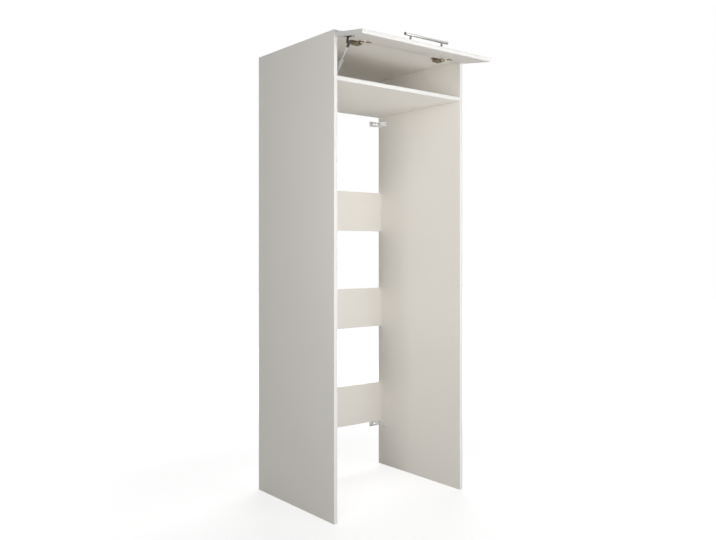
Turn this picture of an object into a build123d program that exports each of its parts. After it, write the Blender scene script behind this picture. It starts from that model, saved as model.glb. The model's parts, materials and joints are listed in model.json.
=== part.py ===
from build123d import *
import math
import os

# Tall melamine surround for a washing machine and a dryer, with a lift-up flap on top.
# Millimetres, +Z up, -Y to the front, +Y to the wall, X centred on the cabinet.
# The flap stands open. The origin lies on the floor under the middle of the whole part.

# Carcass
cabinet_width = 700.0
cabinet_height = 1900.0
cabinet_depth = 560.0
board = 16.0
edge_band = 1.0
compartment_height = 160.0

# Rails between the sides at the back
rail_height = 188.0
rail_first_height = 214.0
rail_pitch = 466.0

# Back panel of the top compartment, let into a rebate
back_panel_thickness = 3.0
rebate_width = 8.0
back_panel_play = 0.2

# Cam fittings and wood dowels
cam_diameter = 15.0
cam_height = 12.5
cam_play = 0.1
cam_inset = 24.0
cam_setback = 84.0
cam_slot_length = 10.0
cam_slot_width = 2.2
cam_slot_depth = 2.0
cam_mouth_play = 0.2
cam_cap_diameter = 17.0
cam_cap_thickness = 1.2
bolt_diameter = 6.0
bolt_neck_diameter = 4.0
bolt_head_diameter = 7.0
bolt_head_length = 3.0
bolt_thread_length = 10.5
bolt_play = 0.1
dowel_diameter = 8.0
dowel_in_side = 11.0
dowel_in_panel = 19.0
dowel_play = 0.05
dowel_spacing = 32.0
rail_bolt_inset = 44.0
bore_bottom_play = 0.5

# Small repeated fittings have flats instead of full rounds, to keep the model light
hidden_sides = 6
head_sides = 8
cam_sides = 12
turned_sides = 20
inner_sides = 24

# Wall brackets
bracket_leg = 60.0
bracket_width = 24.0
bracket_thickness = 2.0
bracket_slot_length = 12.0
bracket_slot_width = 7.0
bracket_slot_inset = 29.0
bracket_screw_inset = 47.0
bracket_shelf_gap = 24.0
bracket_rail_gap = 2.0
bracket_corner = 3.0

# Chipboard screws
screw_shank_diameter = 3.5
screw_length = 13.0
screw_head_diameter = 7.0
screw_head_height = 1.8
screw_play = 0.05

# Flap
flap_length = 167.0
flap_thickness = 16.0
flap_side_gap = 3.0
flap_front_gap = 3.0
flap_top_overlap = 4.3
flap_open_angle = 82.0

# Cup hinges
hinge_inset = 128.0
cup_diameter = 35.0
cup_depth = 13.0
cup_wall = 0.7
cup_play = 0.1
cup_edge = 3.5
cup_flange_thickness = 1.2
cup_flange_margin = 1.5
cup_screw_spacing = 48.0
cup_screw_offset = 6.0
cup_ear_radius = 7.0
pivot_depth = 9.8
pivot_drop = 7.3
hinge_pin_diameter = 2.4
hinge_pin_play = 0.05
knuckle_diameter = 4.0
neck_thickness = 2.2
neck_width = 9.0
neck_drop = 18.0
neck_bend = 1.4
arm_width = 13.0
arm_wall = 1.2
arm_rise = 9.0
arm_start = 3.0
arm_length = 49.0
arm_hump_length = 26.0
arm_ramp_length = 10.0
arm_edge_gap = 2.0
arm_nose_height = 5.0
arm_nose_length = 12.0
arm_tail_length = 6.0
plate_thickness = 2.0
plate_ridge_start = 12.0
plate_ridge_length = 40.0
plate_wing_length = 18.0
plate_line = 37.0
plate_screw_spacing = 32.0
plate_wing_margin = 8.0
plate_wing_corner = 5.6
arm_side_play = 0.3
front_adjuster_setback = 22.0
rear_adjuster_setback = 45.0
adjusting_screw_diameter = 4.0
adjusting_head_diameter = 7.6
adjusting_head_height = 1.6
adjusting_slot_length = 7.0

# Handle
handle_diameter = 12.0
handle_length = 230.0
handle_cap_length = 3.0
handle_cap_round = 1.5
handle_spacing = 168.0
handle_standoff = 25.0
handle_edge_distance = 32.0
handle_post_diameter = 8.0
handle_foot_diameter = 10.0
handle_foot_height = 3.0
handle_screw_diameter = 4.0
handle_screw_head_diameter = 8.0
handle_screw_head_height = 2.0
handle_screw_grip = 9.0
handle_screw_play = 0.1

# Gas strut on the left
strut_inset = 30.0
anchor_setback = 34.0
anchor_height = 10.0
ball_distance = 57.0
ball_standoff = 22.0
strut_tube_diameter = 15.0
strut_tube_wall = 1.2
strut_tube_chamfer = 1.0
strut_tube_start = 11.0
strut_tube_end = 72.0
strut_guide_length = 4.0
strut_floor_length = 3.0
strut_rod_diameter = 6.0
strut_rod_play = 0.08
strut_piston_length = 4.0
strut_piston_play = 0.1
strut_end_play = 0.3
socket_width = 13.0
lower_socket_diameter = 13.0
upper_socket_diameter = 12.0
socket_length = 20.0
socket_neck_diameter = 11.0
socket_grip = 9.0
socket_floor = 2.0
stud_diameter = 6.0
stud_collar_diameter = 9.0
stud_play = 0.05
stud_gap = 0.3
strut_plate_thickness = 2.0
strut_plate_width = 16.0
strut_plate_corner = 4.8
strut_plate_screw_start = 22.0
strut_plate_screw_spacing = 13.0
strut_plate_margin = 7.0
strut_base_thickness = 1.5
strut_base_width = 18.0
strut_base_corner = 4.5
strut_base_screw_spacing = 33.0
strut_base_margin = 7.0
strut_tab_width = 12.0
strut_tab_thickness = 2.0

# Places worked out from the sizes above
half_width = cabinet_width / 2
inner_half = half_width - board
top_underside = cabinet_height - board
shelf_top = top_underside - compartment_height
shelf_underside = shelf_top - board
bracket_upper_height = shelf_underside - bracket_shelf_gap - bracket_width / 2
bracket_lower_height = rail_first_height - bracket_rail_gap - bracket_width / 2
flap_top = top_underside + flap_top_overlap
flap_back = -flap_front_gap
pivot_y = flap_back - pivot_depth
pivot_z = flap_top - pivot_drop


def turned_about_pivot(y, z, angle):
    """A point of the closed flap after the flap has opened by the angle in degrees."""
    cos_a = math.cos(math.radians(angle))
    sin_a = math.sin(math.radians(angle))
    dy = y - pivot_y
    dz = z - pivot_z
    return pivot_y + dy * cos_a + dz * sin_a, pivot_z - dy * sin_a + dz * cos_a


# The open flap reaches this far in front of the carcass, and the origin is half way back.
flap_reach = -turned_about_pivot(flap_back - flap_thickness, flap_top - flap_length, flap_open_angle)[0]
front_y = -(cabinet_depth - flap_reach) / 2
back_y = front_y + cabinet_depth
flap_inner_y = front_y + flap_back
flap_outer_y = flap_inner_y - flap_thickness
hinge_axis = Axis((0, front_y + pivot_y, pivot_z), (1, 0, 0))
rail_names = ("lower", "middle", "upper")
sides = (("left", -1), ("right", 1))


def block(x_range, y_range, z_range):
    """A box between two values along each axis."""
    size = [max(r) - min(r) for r in (x_range, y_range, z_range)]
    centre = [(max(r) + min(r)) / 2 for r in (x_range, y_range, z_range)]
    return Pos(*centre) * Box(*size)


def bar(diameter, length, sides=0):
    """An upright bar round the origin, round or with a number of flats."""
    if sides:
        return extrude(RegularPolygon(diameter / 2, sides), length / 2, both=True)
    return Cylinder(diameter / 2, length)


def rod_x(diameter, x_range, y, z, sides=0):
    """A bar along X."""
    length = max(x_range) - min(x_range)
    centre = (max(x_range) + min(x_range)) / 2
    return Pos(centre, y, z) * Rot(0, 90, 0) * bar(diameter, length, sides)


def rod_y(diameter, x, y_range, z, sides=0):
    """A bar along Y."""
    length = max(y_range) - min(y_range)
    centre = (max(y_range) + min(y_range)) / 2
    return Pos(x, centre, z) * Rot(90, 0, 0) * bar(diameter, length, sides)


def rod_z(diameter, x, y, z_range, sides=0):
    """A bar along Z."""
    length = max(z_range) - min(z_range)
    centre = (max(z_range) + min(z_range)) / 2
    return Pos(x, y, centre) * bar(diameter, length, sides)


def cut_all(body, cutters):
    """The body with every cutter taken away in one go."""
    return body - cutters if cutters else body


def opened(part):
    """A piece of the flap, moved from its closed place to the open one."""
    return part.rotate(hinge_axis, -flap_open_angle)


def save(name, part):
    """Write one node."""
    export_step(part if isinstance(part, Compound) else Compound(children=[part]), f"parts/{name}.step")


def group(parts):
    """Separate solids kept together in one node."""
    return Compound(children=list(parts))


# Joints between boards: where the bolts and dowels lie, seen along X


def board_joints():
    """Bolt axes (y, z, turn of the cam about X) and dowel axes (y, z) of one side."""
    mid_top = cabinet_height - board / 2
    mid_shelf = shelf_top - board / 2
    front_bolt = front_y + cam_setback
    rear_bolt = back_y - cam_setback
    bolts = [(front_bolt, mid_top, 180), (rear_bolt, mid_top, 180)]
    bolts += [(front_bolt, mid_shelf, 0), (rear_bolt, mid_shelf, 0)]
    dowels = [(front_bolt + dowel_spacing, z) for z in (mid_top, mid_shelf)]
    dowels += [(rear_bolt - dowel_spacing, z) for z in (mid_top, mid_shelf)]
    for index in range(len(rail_names)):
        base = rail_first_height + index * rail_pitch
        bolts.append((back_y - board / 2, base + rail_height - rail_bolt_inset, -90))
        dowels.append((back_y - board / 2, base + rail_bolt_inset))
    return bolts, dowels


joint_bolts, joint_dowels = board_joints()


def in_range(value, low, high):
    """True if a value lies between two others."""
    return low < value < high


def end_bores(y_range, z_range):
    """Bores for bolts, cams and dowels in the ends of one horizontal board or rail."""
    cutters = []
    for _, sign in sides:
        cam_x = sign * (inner_half - cam_inset)
        for y, z, turn in joint_bolts:
            if in_range(y, *y_range) and in_range(z, *z_range):
                diameter = bolt_head_diameter + 2 * bolt_play
                bore = rod_x(diameter, (cam_x, sign * inner_half), 0, 0, hidden_sides)
                cutters.append(Pos(0, y, z) * Rot(turn, 0, 0) * bore)
                cutters.append(cam_place(cam_x, y, z, turn, sign) * cam_bore())
        for y, z in joint_dowels:
            if in_range(y, *y_range) and in_range(z, *z_range):
                bottom = sign * (inner_half - dowel_in_panel - bore_bottom_play)
                bore = dowel_diameter + 2 * dowel_play
                cutters.append(rod_x(bore, (bottom, sign * inner_half), y, z, hidden_sides))
    return cutters


def cam_place(x, y, z, turn, sign):
    """Where a cam goes: its bolt mouth faces the side panel and its slot the open face."""
    return Pos(x, y, z) * Rot(turn, 0, 0) * Rot(0, 0, 0 if sign > 0 else 180)


def cam_bore():
    """The blind bore that a cam sits in, with the bolt axis at the origin."""
    bottom = board / 2 - cam_height - bore_bottom_play
    return rod_z(cam_diameter + 2 * cam_play, 0, 0, (bottom, board / 2), cam_sides)


def cam():
    """A cam: a short drum with a mouth for the bolt head and a driver slot on its face."""
    drum = rod_z(cam_diameter, 0, 0, (board / 2 - cam_height, board / 2), cam_sides)
    mouth_half = bolt_head_diameter / 2 + cam_mouth_play
    mouth = block((-bolt_head_length, cam_diameter), (-mouth_half, mouth_half), (-mouth_half, mouth_half))
    slot = block(
        (-cam_slot_length / 2, cam_slot_length / 2),
        (-cam_slot_width / 2, cam_slot_width / 2),
        (board / 2 - cam_slot_depth, board / 2),
    )
    return drum - mouth - slot


def bolt():
    """A connecting bolt from the cam's middle at the origin into the side along +X."""
    head = rod_x(bolt_head_diameter, (-bolt_head_length / 2, bolt_head_length / 2), 0, 0, hidden_sides)
    neck_end = cam_diameter / 2
    neck = rod_x(bolt_neck_diameter, (0, neck_end), 0, 0, hidden_sides)
    thread_end = cam_inset + bolt_thread_length
    return head + neck + rod_x(bolt_diameter, (neck_end, thread_end), 0, 0, hidden_sides)


def dowel(sign, y, z):
    """A wood dowel, half in the side and half in the board."""
    ends = (sign * (inner_half - dowel_in_panel), sign * (inner_half + dowel_in_side))
    return rod_x(dowel_diameter, ends, y, z, hidden_sides)


def cam_places():
    """Each cam's place, its turn and how far back it lies."""
    for _, sign in sides:
        for y, z, turn in joint_bolts:
            yield cam_place(sign * (inner_half - cam_inset), y, z, turn, sign), turn, y


def side_panel(sign):
    """An outer side with blind bores and the back panel's rebate."""
    panel = block(
        (sign * inner_half, sign * half_width), (front_y + edge_band, back_y), (0, cabinet_height)
    )
    cutters = [
        block(
            (sign * inner_half, sign * (inner_half + rebate_width)),
            (back_y - back_panel_thickness, back_y),
            (shelf_top - rebate_width, top_underside + rebate_width),
        )
    ]
    thread_bottom = sign * (inner_half + bolt_thread_length + bore_bottom_play)
    for y, z, turn in joint_bolts:
        diameter = bolt_diameter + 2 * bolt_play
        bore = rod_x(diameter, (sign * inner_half, thread_bottom), 0, 0, hidden_sides)
        cutters.append(Pos(0, y, z) * Rot(turn, 0, 0) * bore)
    dowel_bottom = sign * (inner_half + dowel_in_side + bore_bottom_play)
    for y, z in joint_dowels:
        bore = dowel_diameter + 2 * dowel_play
        cutters.append(rod_x(bore, (sign * inner_half, dowel_bottom), y, z, hidden_sides))
    for height in (bracket_lower_height, bracket_upper_height):
        cutters.append(pilot_x(sign, back_y - bracket_screw_inset, height, bracket_thickness))
    if sign < 0:
        for y, z in strut_plate_screws():
            cutters.append(pilot_x(sign, y, z, strut_plate_thickness))
    return cut_all(panel, cutters)


def pilot_x(sign, y, z, lift):
    """A screw hole in a side, for a screw whose head stands off by a plate's thickness."""
    depth = screw_length - lift + bore_bottom_play
    bore = screw_shank_diameter + 2 * screw_play
    return rod_x(bore, (sign * inner_half, sign * (inner_half + depth)), y, z, hidden_sides)


def top_panel():
    """The top board between the sides, rebated below for the back panel."""
    panel = block((-inner_half, inner_half), (front_y + edge_band, back_y), (top_underside, cabinet_height))
    cutters = end_bores((front_y, back_y), (top_underside, cabinet_height))
    cutters.append(
        block(
            (-inner_half, inner_half),
            (back_y - back_panel_thickness, back_y),
            (top_underside, top_underside + rebate_width),
        )
    )
    for _, sign in sides:
        for x, y in plate_screws(sign):
            depth = screw_length - plate_thickness + bore_bottom_play
            bore = screw_shank_diameter + 2 * screw_play
            cutters.append(rod_z(bore, x, y, (top_underside, top_underside + depth), hidden_sides))
    return cut_all(panel, cutters)


def shelf_panel():
    """The board over the machines, rebated above for the back panel."""
    panel = block((-inner_half, inner_half), (front_y + edge_band, back_y), (shelf_underside, shelf_top))
    cutters = end_bores((front_y, back_y), (shelf_underside, shelf_top))
    cutters.append(
        block(
            (-inner_half, inner_half),
            (back_y - back_panel_thickness, back_y),
            (shelf_top - rebate_width, shelf_top),
        )
    )
    return cut_all(panel, cutters)


def rail(index):
    """One stiffening rail between the sides at the back."""
    base = rail_first_height + index * rail_pitch
    panel = block((-inner_half, inner_half), (back_y - board, back_y), (base, base + rail_height))
    return cut_all(panel, end_bores((back_y - board, back_y), (base, base + rail_height)))


def back_panel():
    """Thin board that closes the top compartment behind."""
    reach_x = inner_half + rebate_width - back_panel_play
    low = shelf_top - rebate_width + back_panel_play
    high = top_underside + rebate_width - back_panel_play
    return block((-reach_x, reach_x), (back_y - back_panel_thickness, back_y), (low, high))


def front_band(x_range, z_range):
    """White edging on a board's front edge."""
    return block(x_range, (front_y, front_y + edge_band), z_range)


# Screws


def pan_screw(shank_diameter, shank_length, head_diameter, head_height):
    """A screw along +Z with the underside of its head at the origin."""
    shank = rod_z(shank_diameter, 0, 0, (-shank_length, 0), hidden_sides)
    return shank + rod_z(head_diameter, 0, 0, (0, head_height), head_sides)


def board_screw():
    """The short screw that holds brackets, plates and cups to the boards."""
    return pan_screw(screw_shank_diameter, screw_length, screw_head_diameter, screw_head_height)


# Wall brackets


def wall_bracket(sign, height):
    """A pressed steel angle: one leg on the side, one on the wall, with a slot."""
    x_in = sign * inner_half
    half = bracket_width / 2
    z_range = (height - half, height + half)
    side_leg = block(
        (x_in, x_in - sign * bracket_thickness), (back_y - bracket_leg, back_y), z_range
    )
    wall_leg = block(
        (x_in, x_in - sign * bracket_leg), (back_y - bracket_thickness, back_y), z_range
    )
    angle = side_leg + wall_leg
    tips = angle.edges().filter_by(Axis.X).group_by(Axis.Y)[0] + (
        angle.edges().filter_by(Axis.Y).group_by(Axis.X)[0 if sign > 0 else -1]
    )
    angle = chamfer(tips, bracket_corner)
    straight = (bracket_slot_length - bracket_slot_width) / 2
    slot_x = x_in - sign * bracket_slot_inset
    through = (back_y - 2 * bracket_thickness, back_y)
    slot = rod_y(bracket_slot_width, slot_x - straight, through, height)
    slot += rod_y(bracket_slot_width, slot_x + straight, through, height)
    slot += block(
        (slot_x - straight, slot_x + straight),
        through,
        (height - bracket_slot_width / 2, height + bracket_slot_width / 2),
    )
    bore = screw_shank_diameter + 2 * screw_play
    across = (x_in, x_in - sign * 2 * bracket_thickness)
    slot += rod_x(bore, across, back_y - bracket_screw_inset, height, hidden_sides)
    return angle - slot


def screws_on_side(sign, places, lift):
    """Screws driven into a side at (y, z) places, through a plate."""
    for y, z in places:
        x = sign * (inner_half - lift)
        yield Pos(x, y, z) * Rot(0, -90 * sign, 0) * board_screw()


# Cup hinges. The cup is drawn flat: x along the flap, y to its hinge end, z into the board.


def cup_place(sign):
    """Where a cup goes on the closed flap."""
    height = flap_top - cup_edge - cup_diameter / 2
    return Pos(sign * (half_width - hinge_inset), flap_inner_y, height) * Rot(90, 0, 0)


def cup_pivot_offset():
    """How far the pin lies from the cup's middle, towards the hinge end."""
    return cup_edge + cup_diameter / 2 - pivot_drop


def hinge_cup():
    """A pressed cup with two screw ears and holes for its pin."""
    inner = cup_diameter - 2 * cup_wall
    bore_z = (-cup_flange_thickness, cup_depth - cup_wall)
    ears = [Vector(side * cup_screw_spacing / 2, -cup_screw_offset) for side in (-1, 1)]
    outline = [Edge.make_circle(cup_diameter / 2 + cup_flange_margin)]
    outline += [Edge.make_circle(cup_ear_radius, Plane(ear)) for ear in ears]
    flange = Pos(0, 0, -cup_flange_thickness) * extrude(make_hull(outline), cup_flange_thickness)
    cup = flange + rod_z(cup_diameter, 0, 0, (0, cup_depth))
    cup -= rod_z(inner, 0, 0, bore_z, inner_sides)
    bore = screw_shank_diameter + 2 * screw_play
    for ear in ears:
        cup -= rod_z(bore, ear.X, ear.Y, (-cup_flange_thickness, 0), hidden_sides)
    return cup - hinge_pin()


def hinge_pin():
    """The pin across the cup, with both ends in its wall."""
    offset = cup_pivot_offset()
    outer_line = offset + hinge_pin_diameter / 2
    chord = math.sqrt((cup_diameter / 2 - cup_wall / 2) ** 2 - outer_line**2)
    return rod_x(hinge_pin_diameter, (-chord, chord), offset, pivot_depth)


def cup_screw_places():
    """Ear screws of one cup."""
    for side in (-1, 1):
        place = Pos(side * cup_screw_spacing / 2, -cup_screw_offset, -cup_flange_thickness)
        yield place * Rot(180, 0, 0)


def hinge_arm(sign):
    """One pressed arm: knuckle, goose-neck and a humped channel that straddles the plate."""
    centre_x = sign * (half_width - hinge_inset)
    pivot = (front_y + pivot_y, pivot_z)
    half = neck_thickness / 2
    start = arm_start - pivot_y
    run = start + neck_thickness
    low = -neck_drop - half
    high = -neck_drop + half
    neck_view = make_face(
        Polyline((-half, 0), (-half, low), (run, low), (run, high), (half, high), (half, 0), (-half, 0))
    )
    outer_corner = neck_view.vertices().sort_by_distance((-half, low))[0]
    neck_view = fillet(outer_corner, neck_bend + neck_thickness)
    inner_corner = neck_view.vertices().sort_by_distance((half, high))[0]
    neck_view = fillet(inner_corner, neck_bend)
    neck_view += Circle(knuckle_diameter / 2)
    neck = extrude(neck_view, neck_width / 2, both=True)
    neck -= Cylinder(hinge_pin_diameter / 2 + hinge_pin_play, neck_width)
    hump_end = start + arm_hump_length
    ramp_end = hump_end + arm_ramp_length
    tail = start + arm_length
    rear_low = low + arm_rise
    edge = top_underside - plate_thickness - arm_edge_gap - pivot_z
    outline = [
        (start, low),
        (hump_end, low),
        (ramp_end, rear_low),
        (tail, rear_low),
        (tail, rear_low + arm_nose_height),
        (tail - arm_tail_length, edge),
        (start + arm_nose_length, edge),
        (start, low + arm_nose_height),
    ]
    channel = extrude(make_face(Polyline(*outline, outline[0])), arm_width / 2, both=True)
    hollow = [
        (start, high),
        (hump_end, high),
        (ramp_end, high + arm_rise),
        (tail, high + arm_rise),
        (tail, edge),
        (start, edge),
    ]
    inside = arm_width / 2 - arm_wall
    channel -= extrude(make_face(Polyline(*hollow, hollow[0])), inside, both=True)
    arm = neck + channel
    for setback, drop in adjusters():
        slot_width = adjusting_screw_diameter + 2 * screw_play
        slot = Box(adjusting_slot_length, 2 * neck_thickness, slot_width)
        arm -= Pos(setback - pivot_y, high + arm_rise - drop, 0) * slot
    side_on = Plane((centre_x, *pivot), x_dir=(0, 1, 0), z_dir=(1, 0, 0))
    return side_on.location * arm


def adjusters():
    """How far back each adjusting screw is, and how far the web hangs there below the plate's ridge."""
    return (front_adjuster_setback, arm_rise), (rear_adjuster_setback, 0.0)


def arm_web_top():
    """Height of the channel's rear web, where the plate's ridge seats."""
    return pivot_z - neck_drop + neck_thickness / 2 + arm_rise


def plate_screws(sign):
    """Where the plate's screws go up into the top board."""
    x = sign * (half_width - hinge_inset)
    for side in (-1, 1):
        yield x + side * plate_screw_spacing / 2, front_y + plate_line


def hinge_plate(sign):
    """A mounting plate under the top board: two wings and the ridge that holds the arm."""
    x = sign * (half_width - hinge_inset)
    z_range = (top_underside - plate_thickness, top_underside)
    wing = plate_screw_spacing / 2 + plate_wing_margin
    y_mid = front_y + plate_line
    wing_y = (y_mid - plate_wing_length / 2, y_mid + plate_wing_length / 2)
    base = block((x - wing, x + wing), wing_y, z_range)
    base = fillet(base.edges().filter_by(Axis.Z), plate_wing_corner)
    ridge_half = arm_width / 2 - arm_wall - arm_side_play
    ridge_y = (front_y + plate_ridge_start, front_y + plate_ridge_start + plate_ridge_length)
    ridge = block((x - ridge_half, x + ridge_half), ridge_y, (arm_web_top(), top_underside))
    plate = base + ridge
    for screw_x, screw_y in plate_screws(sign):
        plate -= rod_z(screw_shank_diameter + 2 * screw_play, screw_x, screw_y, z_range, hidden_sides)
    for setback, _ in adjusters():
        bore = adjusting_screw_diameter + 2 * screw_play
        thread_z = (arm_web_top(), top_underside - plate_thickness)
        plate -= rod_z(bore, x, front_y + setback, thread_z, hidden_sides)
    return plate


def adjusting_screw(drop):
    """A screw up through the arm's slot into the plate."""
    length = top_underside - plate_thickness - bore_bottom_play - arm_web_top() + neck_thickness + drop
    return pan_screw(
        adjusting_screw_diameter, length, adjusting_head_diameter, adjusting_head_height
    )


# Flap and handle, drawn closed


def flap_panel():
    """The flap board with its cup bores, screw holes and handle holes."""
    half = half_width - flap_side_gap - edge_band
    low = flap_top - flap_length + edge_band
    panel = block((-half, half), (flap_outer_y, flap_inner_y), (low, flap_top - edge_band))
    cutters = []
    for _, sign in sides:
        place = cup_place(sign)
        bore = rod_z(cup_diameter + 2 * cup_play, 0, 0, (0, cup_depth + cup_play))
        cutters.append(place * bore)
        for screw in cup_screw_places():
            depth = screw_length - cup_flange_thickness + bore_bottom_play
            diameter = screw_shank_diameter + 2 * screw_play
            hole = rod_z(diameter, 0, 0, (-depth - cup_flange_thickness, 0), hidden_sides)
            cutters.append(place * screw * hole)
        hole = handle_screw_diameter + 2 * handle_screw_play
        x = sign * handle_spacing / 2
        cutters.append(rod_y(hole, x, (flap_outer_y, flap_inner_y), handle_z(), hidden_sides))
    for z in flap_base_screws():
        depth = screw_length - strut_base_thickness + bore_bottom_play
        bore = screw_shank_diameter + 2 * screw_play
        cutters.append(rod_y(bore, flap_base_x(), (flap_inner_y - depth, flap_inner_y), z, hidden_sides))
    return cut_all(panel, cutters)


def flap_band():
    """White edging round all four edges of the flap."""
    half = half_width - flap_side_gap
    y_range = (flap_outer_y, flap_inner_y)
    outer = block((-half, half), y_range, (flap_top - flap_length, flap_top))
    inner_half_width = half - edge_band
    inner = block(
        (-inner_half_width, inner_half_width),
        y_range,
        (flap_top - flap_length + edge_band, flap_top - edge_band),
    )
    return outer - inner


def handle_z():
    """Height of the handle on the closed flap."""
    return flap_top - flap_length + handle_edge_distance


def handle_bar():
    """The round bar, between its end caps."""
    half = handle_length / 2 - handle_cap_length
    y = flap_outer_y - handle_standoff
    return rod_x(handle_diameter, (-half, half), y, handle_z())


def handle_caps():
    """Rounded caps that close the ends of the bar."""
    half = handle_length / 2
    y = flap_outer_y - handle_standoff
    for _, sign in sides:
        ends = (sign * (half - handle_cap_length), sign * half)
        cap = rod_x(handle_diameter, ends, y, handle_z(), turned_sides)
        rim = cap.faces().sort_by(Axis.X)[-1 if sign > 0 else 0].edges()
        yield chamfer(rim, handle_cap_round)


def handle_posts():
    """Turned posts between the flap and the bar."""
    y = flap_outer_y - handle_standoff
    for _, sign in sides:
        x = sign * handle_spacing / 2
        post = rod_y(handle_post_diameter, x, (y, flap_outer_y), handle_z(), turned_sides) - handle_bar()
        foot_y = (flap_outer_y - handle_foot_height, flap_outer_y)
        post += rod_y(handle_foot_diameter, x, foot_y, handle_z(), turned_sides)
        hole = handle_screw_diameter + 2 * handle_screw_play
        grip = handle_screw_grip + bore_bottom_play
        yield post - rod_y(hole, x, (flap_outer_y - grip, flap_outer_y), handle_z(), hidden_sides)


def handle_screws():
    """Machine screws through the flap into the posts."""
    for _, sign in sides:
        length = flap_thickness + handle_screw_grip
        screw = pan_screw(
            handle_screw_diameter, length, handle_screw_head_diameter, handle_screw_head_height
        )
        yield Pos(sign * handle_spacing / 2, flap_inner_y, handle_z()) * Rot(-90, 0, 0) * screw


# Gas strut


def strut_x():
    """The strut's plane."""
    return -half_width + strut_inset


def anchor_point():
    """The strut's lower pivot on the side."""
    return front_y + anchor_setback, shelf_top + anchor_height


def ball_point():
    """The strut's upper pivot with the flap open."""
    y, z = turned_about_pivot(flap_back + ball_standoff, flap_top - ball_distance, flap_open_angle)
    return front_y + y, z


def strut_pose():
    """Length between the pivots and lean from upright, flap open and flap closed."""
    anchor = anchor_point()
    closed = (flap_inner_y + ball_standoff, flap_top - ball_distance)
    result = []
    for y, z in (ball_point(), closed):
        dy = anchor[0] - y
        dz = z - anchor[1]
        result.append((math.hypot(dy, dz), math.degrees(math.atan2(dy, dz))))
    return result


(strut_open_length, strut_open_lean), (strut_closed_length, strut_closed_lean) = strut_pose()
strut_stroke = strut_open_length - strut_closed_length


def on_strut(part):
    """A piece drawn upright from the lower pivot, leaned to its place."""
    return Pos(strut_x(), *anchor_point()) * Rot(strut_open_lean, 0, 0) * part


def strut_cylinder():
    """The pressure tube with its floor and rod guide."""
    tube = rod_z(strut_tube_diameter, 0, 0, (strut_tube_start, strut_tube_end))
    tube = chamfer(tube.edges().filter_by(GeomType.CIRCLE).sort_by(Axis.Z)[-1], strut_tube_chamfer)
    bore = strut_tube_diameter - 2 * strut_tube_wall
    bore_z = (strut_tube_start + strut_floor_length, strut_tube_end - strut_guide_length)
    tube -= rod_z(bore, 0, 0, bore_z, inner_sides)
    guide = strut_rod_diameter + 2 * strut_rod_play
    return tube - rod_z(guide, 0, 0, (bore_z[1], strut_tube_end))


def strut_rod():
    """The rod with its piston, pulled out as far as it goes."""
    top = strut_open_length - socket_length + socket_grip
    piston_top = strut_tube_end - strut_guide_length - strut_end_play
    rod = rod_z(strut_rod_diameter, 0, 0, (piston_top - strut_piston_length, top))
    piston = strut_tube_diameter - 2 * strut_tube_wall - 2 * strut_piston_play
    return rod + rod_z(piston, 0, 0, (piston_top - strut_piston_length, piston_top), inner_sides)


def socket_eye(diameter):
    """A moulded eye round a pivot along X."""
    return rod_x(diameter, (-socket_width / 2, socket_width / 2), 0, 0)


def lower_socket():
    """The socket under the tube, which turns on the side stud."""
    neck = rod_z(socket_neck_diameter, 0, 0, (0, strut_tube_start), turned_sides)
    socket = socket_eye(lower_socket_diameter) + neck
    bore = stud_diameter + 2 * stud_play
    floor = socket_width / 2 - socket_floor
    return socket - rod_x(bore, (-socket_width / 2, floor), 0, 0)


def upper_socket():
    """The socket on the rod, whose eye faces the stud on the flap."""
    low = strut_open_length - socket_length
    socket = Pos(0, 0, strut_open_length) * socket_eye(upper_socket_diameter)
    socket += rod_z(socket_neck_diameter, 0, 0, (low, strut_open_length), turned_sides)
    return socket - rod_z(strut_rod_diameter, 0, 0, (low, low + socket_grip))


def strut_plate_screws():
    """Screws of the plate on the side."""
    y, z = anchor_point()
    first = y + strut_plate_screw_start
    return [(first, z), (first + strut_plate_screw_spacing, z)]


def strut_side_bracket():
    """A plate on the left side with the stud that carries the strut."""
    y, z = anchor_point()
    inner_x = -inner_half
    start = y - strut_plate_margin
    end = strut_plate_screws()[-1][0] + strut_plate_margin
    half = strut_plate_width / 2
    plate = block((inner_x, inner_x + strut_plate_thickness), (start, end), (z - half, z + half))
    plate = fillet(plate.edges().filter_by(Axis.X), strut_plate_corner)
    collar_end = strut_x() - socket_width / 2 - stud_gap
    plate += rod_x(stud_collar_diameter, (inner_x, collar_end), y, z, turned_sides)
    stud_end = strut_x() + socket_width / 2 - socket_floor - stud_gap
    plate += rod_x(stud_diameter, (inner_x, stud_end), y, z)
    for screw_y, screw_z in strut_plate_screws():
        bore = screw_shank_diameter + 2 * screw_play
        across = (inner_x, inner_x + strut_plate_thickness)
        plate -= rod_x(bore, across, screw_y, screw_z, hidden_sides)
    return plate


def flap_base_x():
    """Middle of the strut's base on the flap."""
    return flap_tab_x() + strut_base_width / 2


def flap_tab_x():
    """Outer face of the tab that carries the stud."""
    return strut_x() - socket_width / 2 - stud_gap - 2 * strut_tab_thickness


def flap_base_screws():
    """Heights of the base's screws on the closed flap."""
    middle = flap_top - ball_distance
    reach = strut_base_screw_spacing / 2
    return middle - reach, middle + reach


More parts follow.
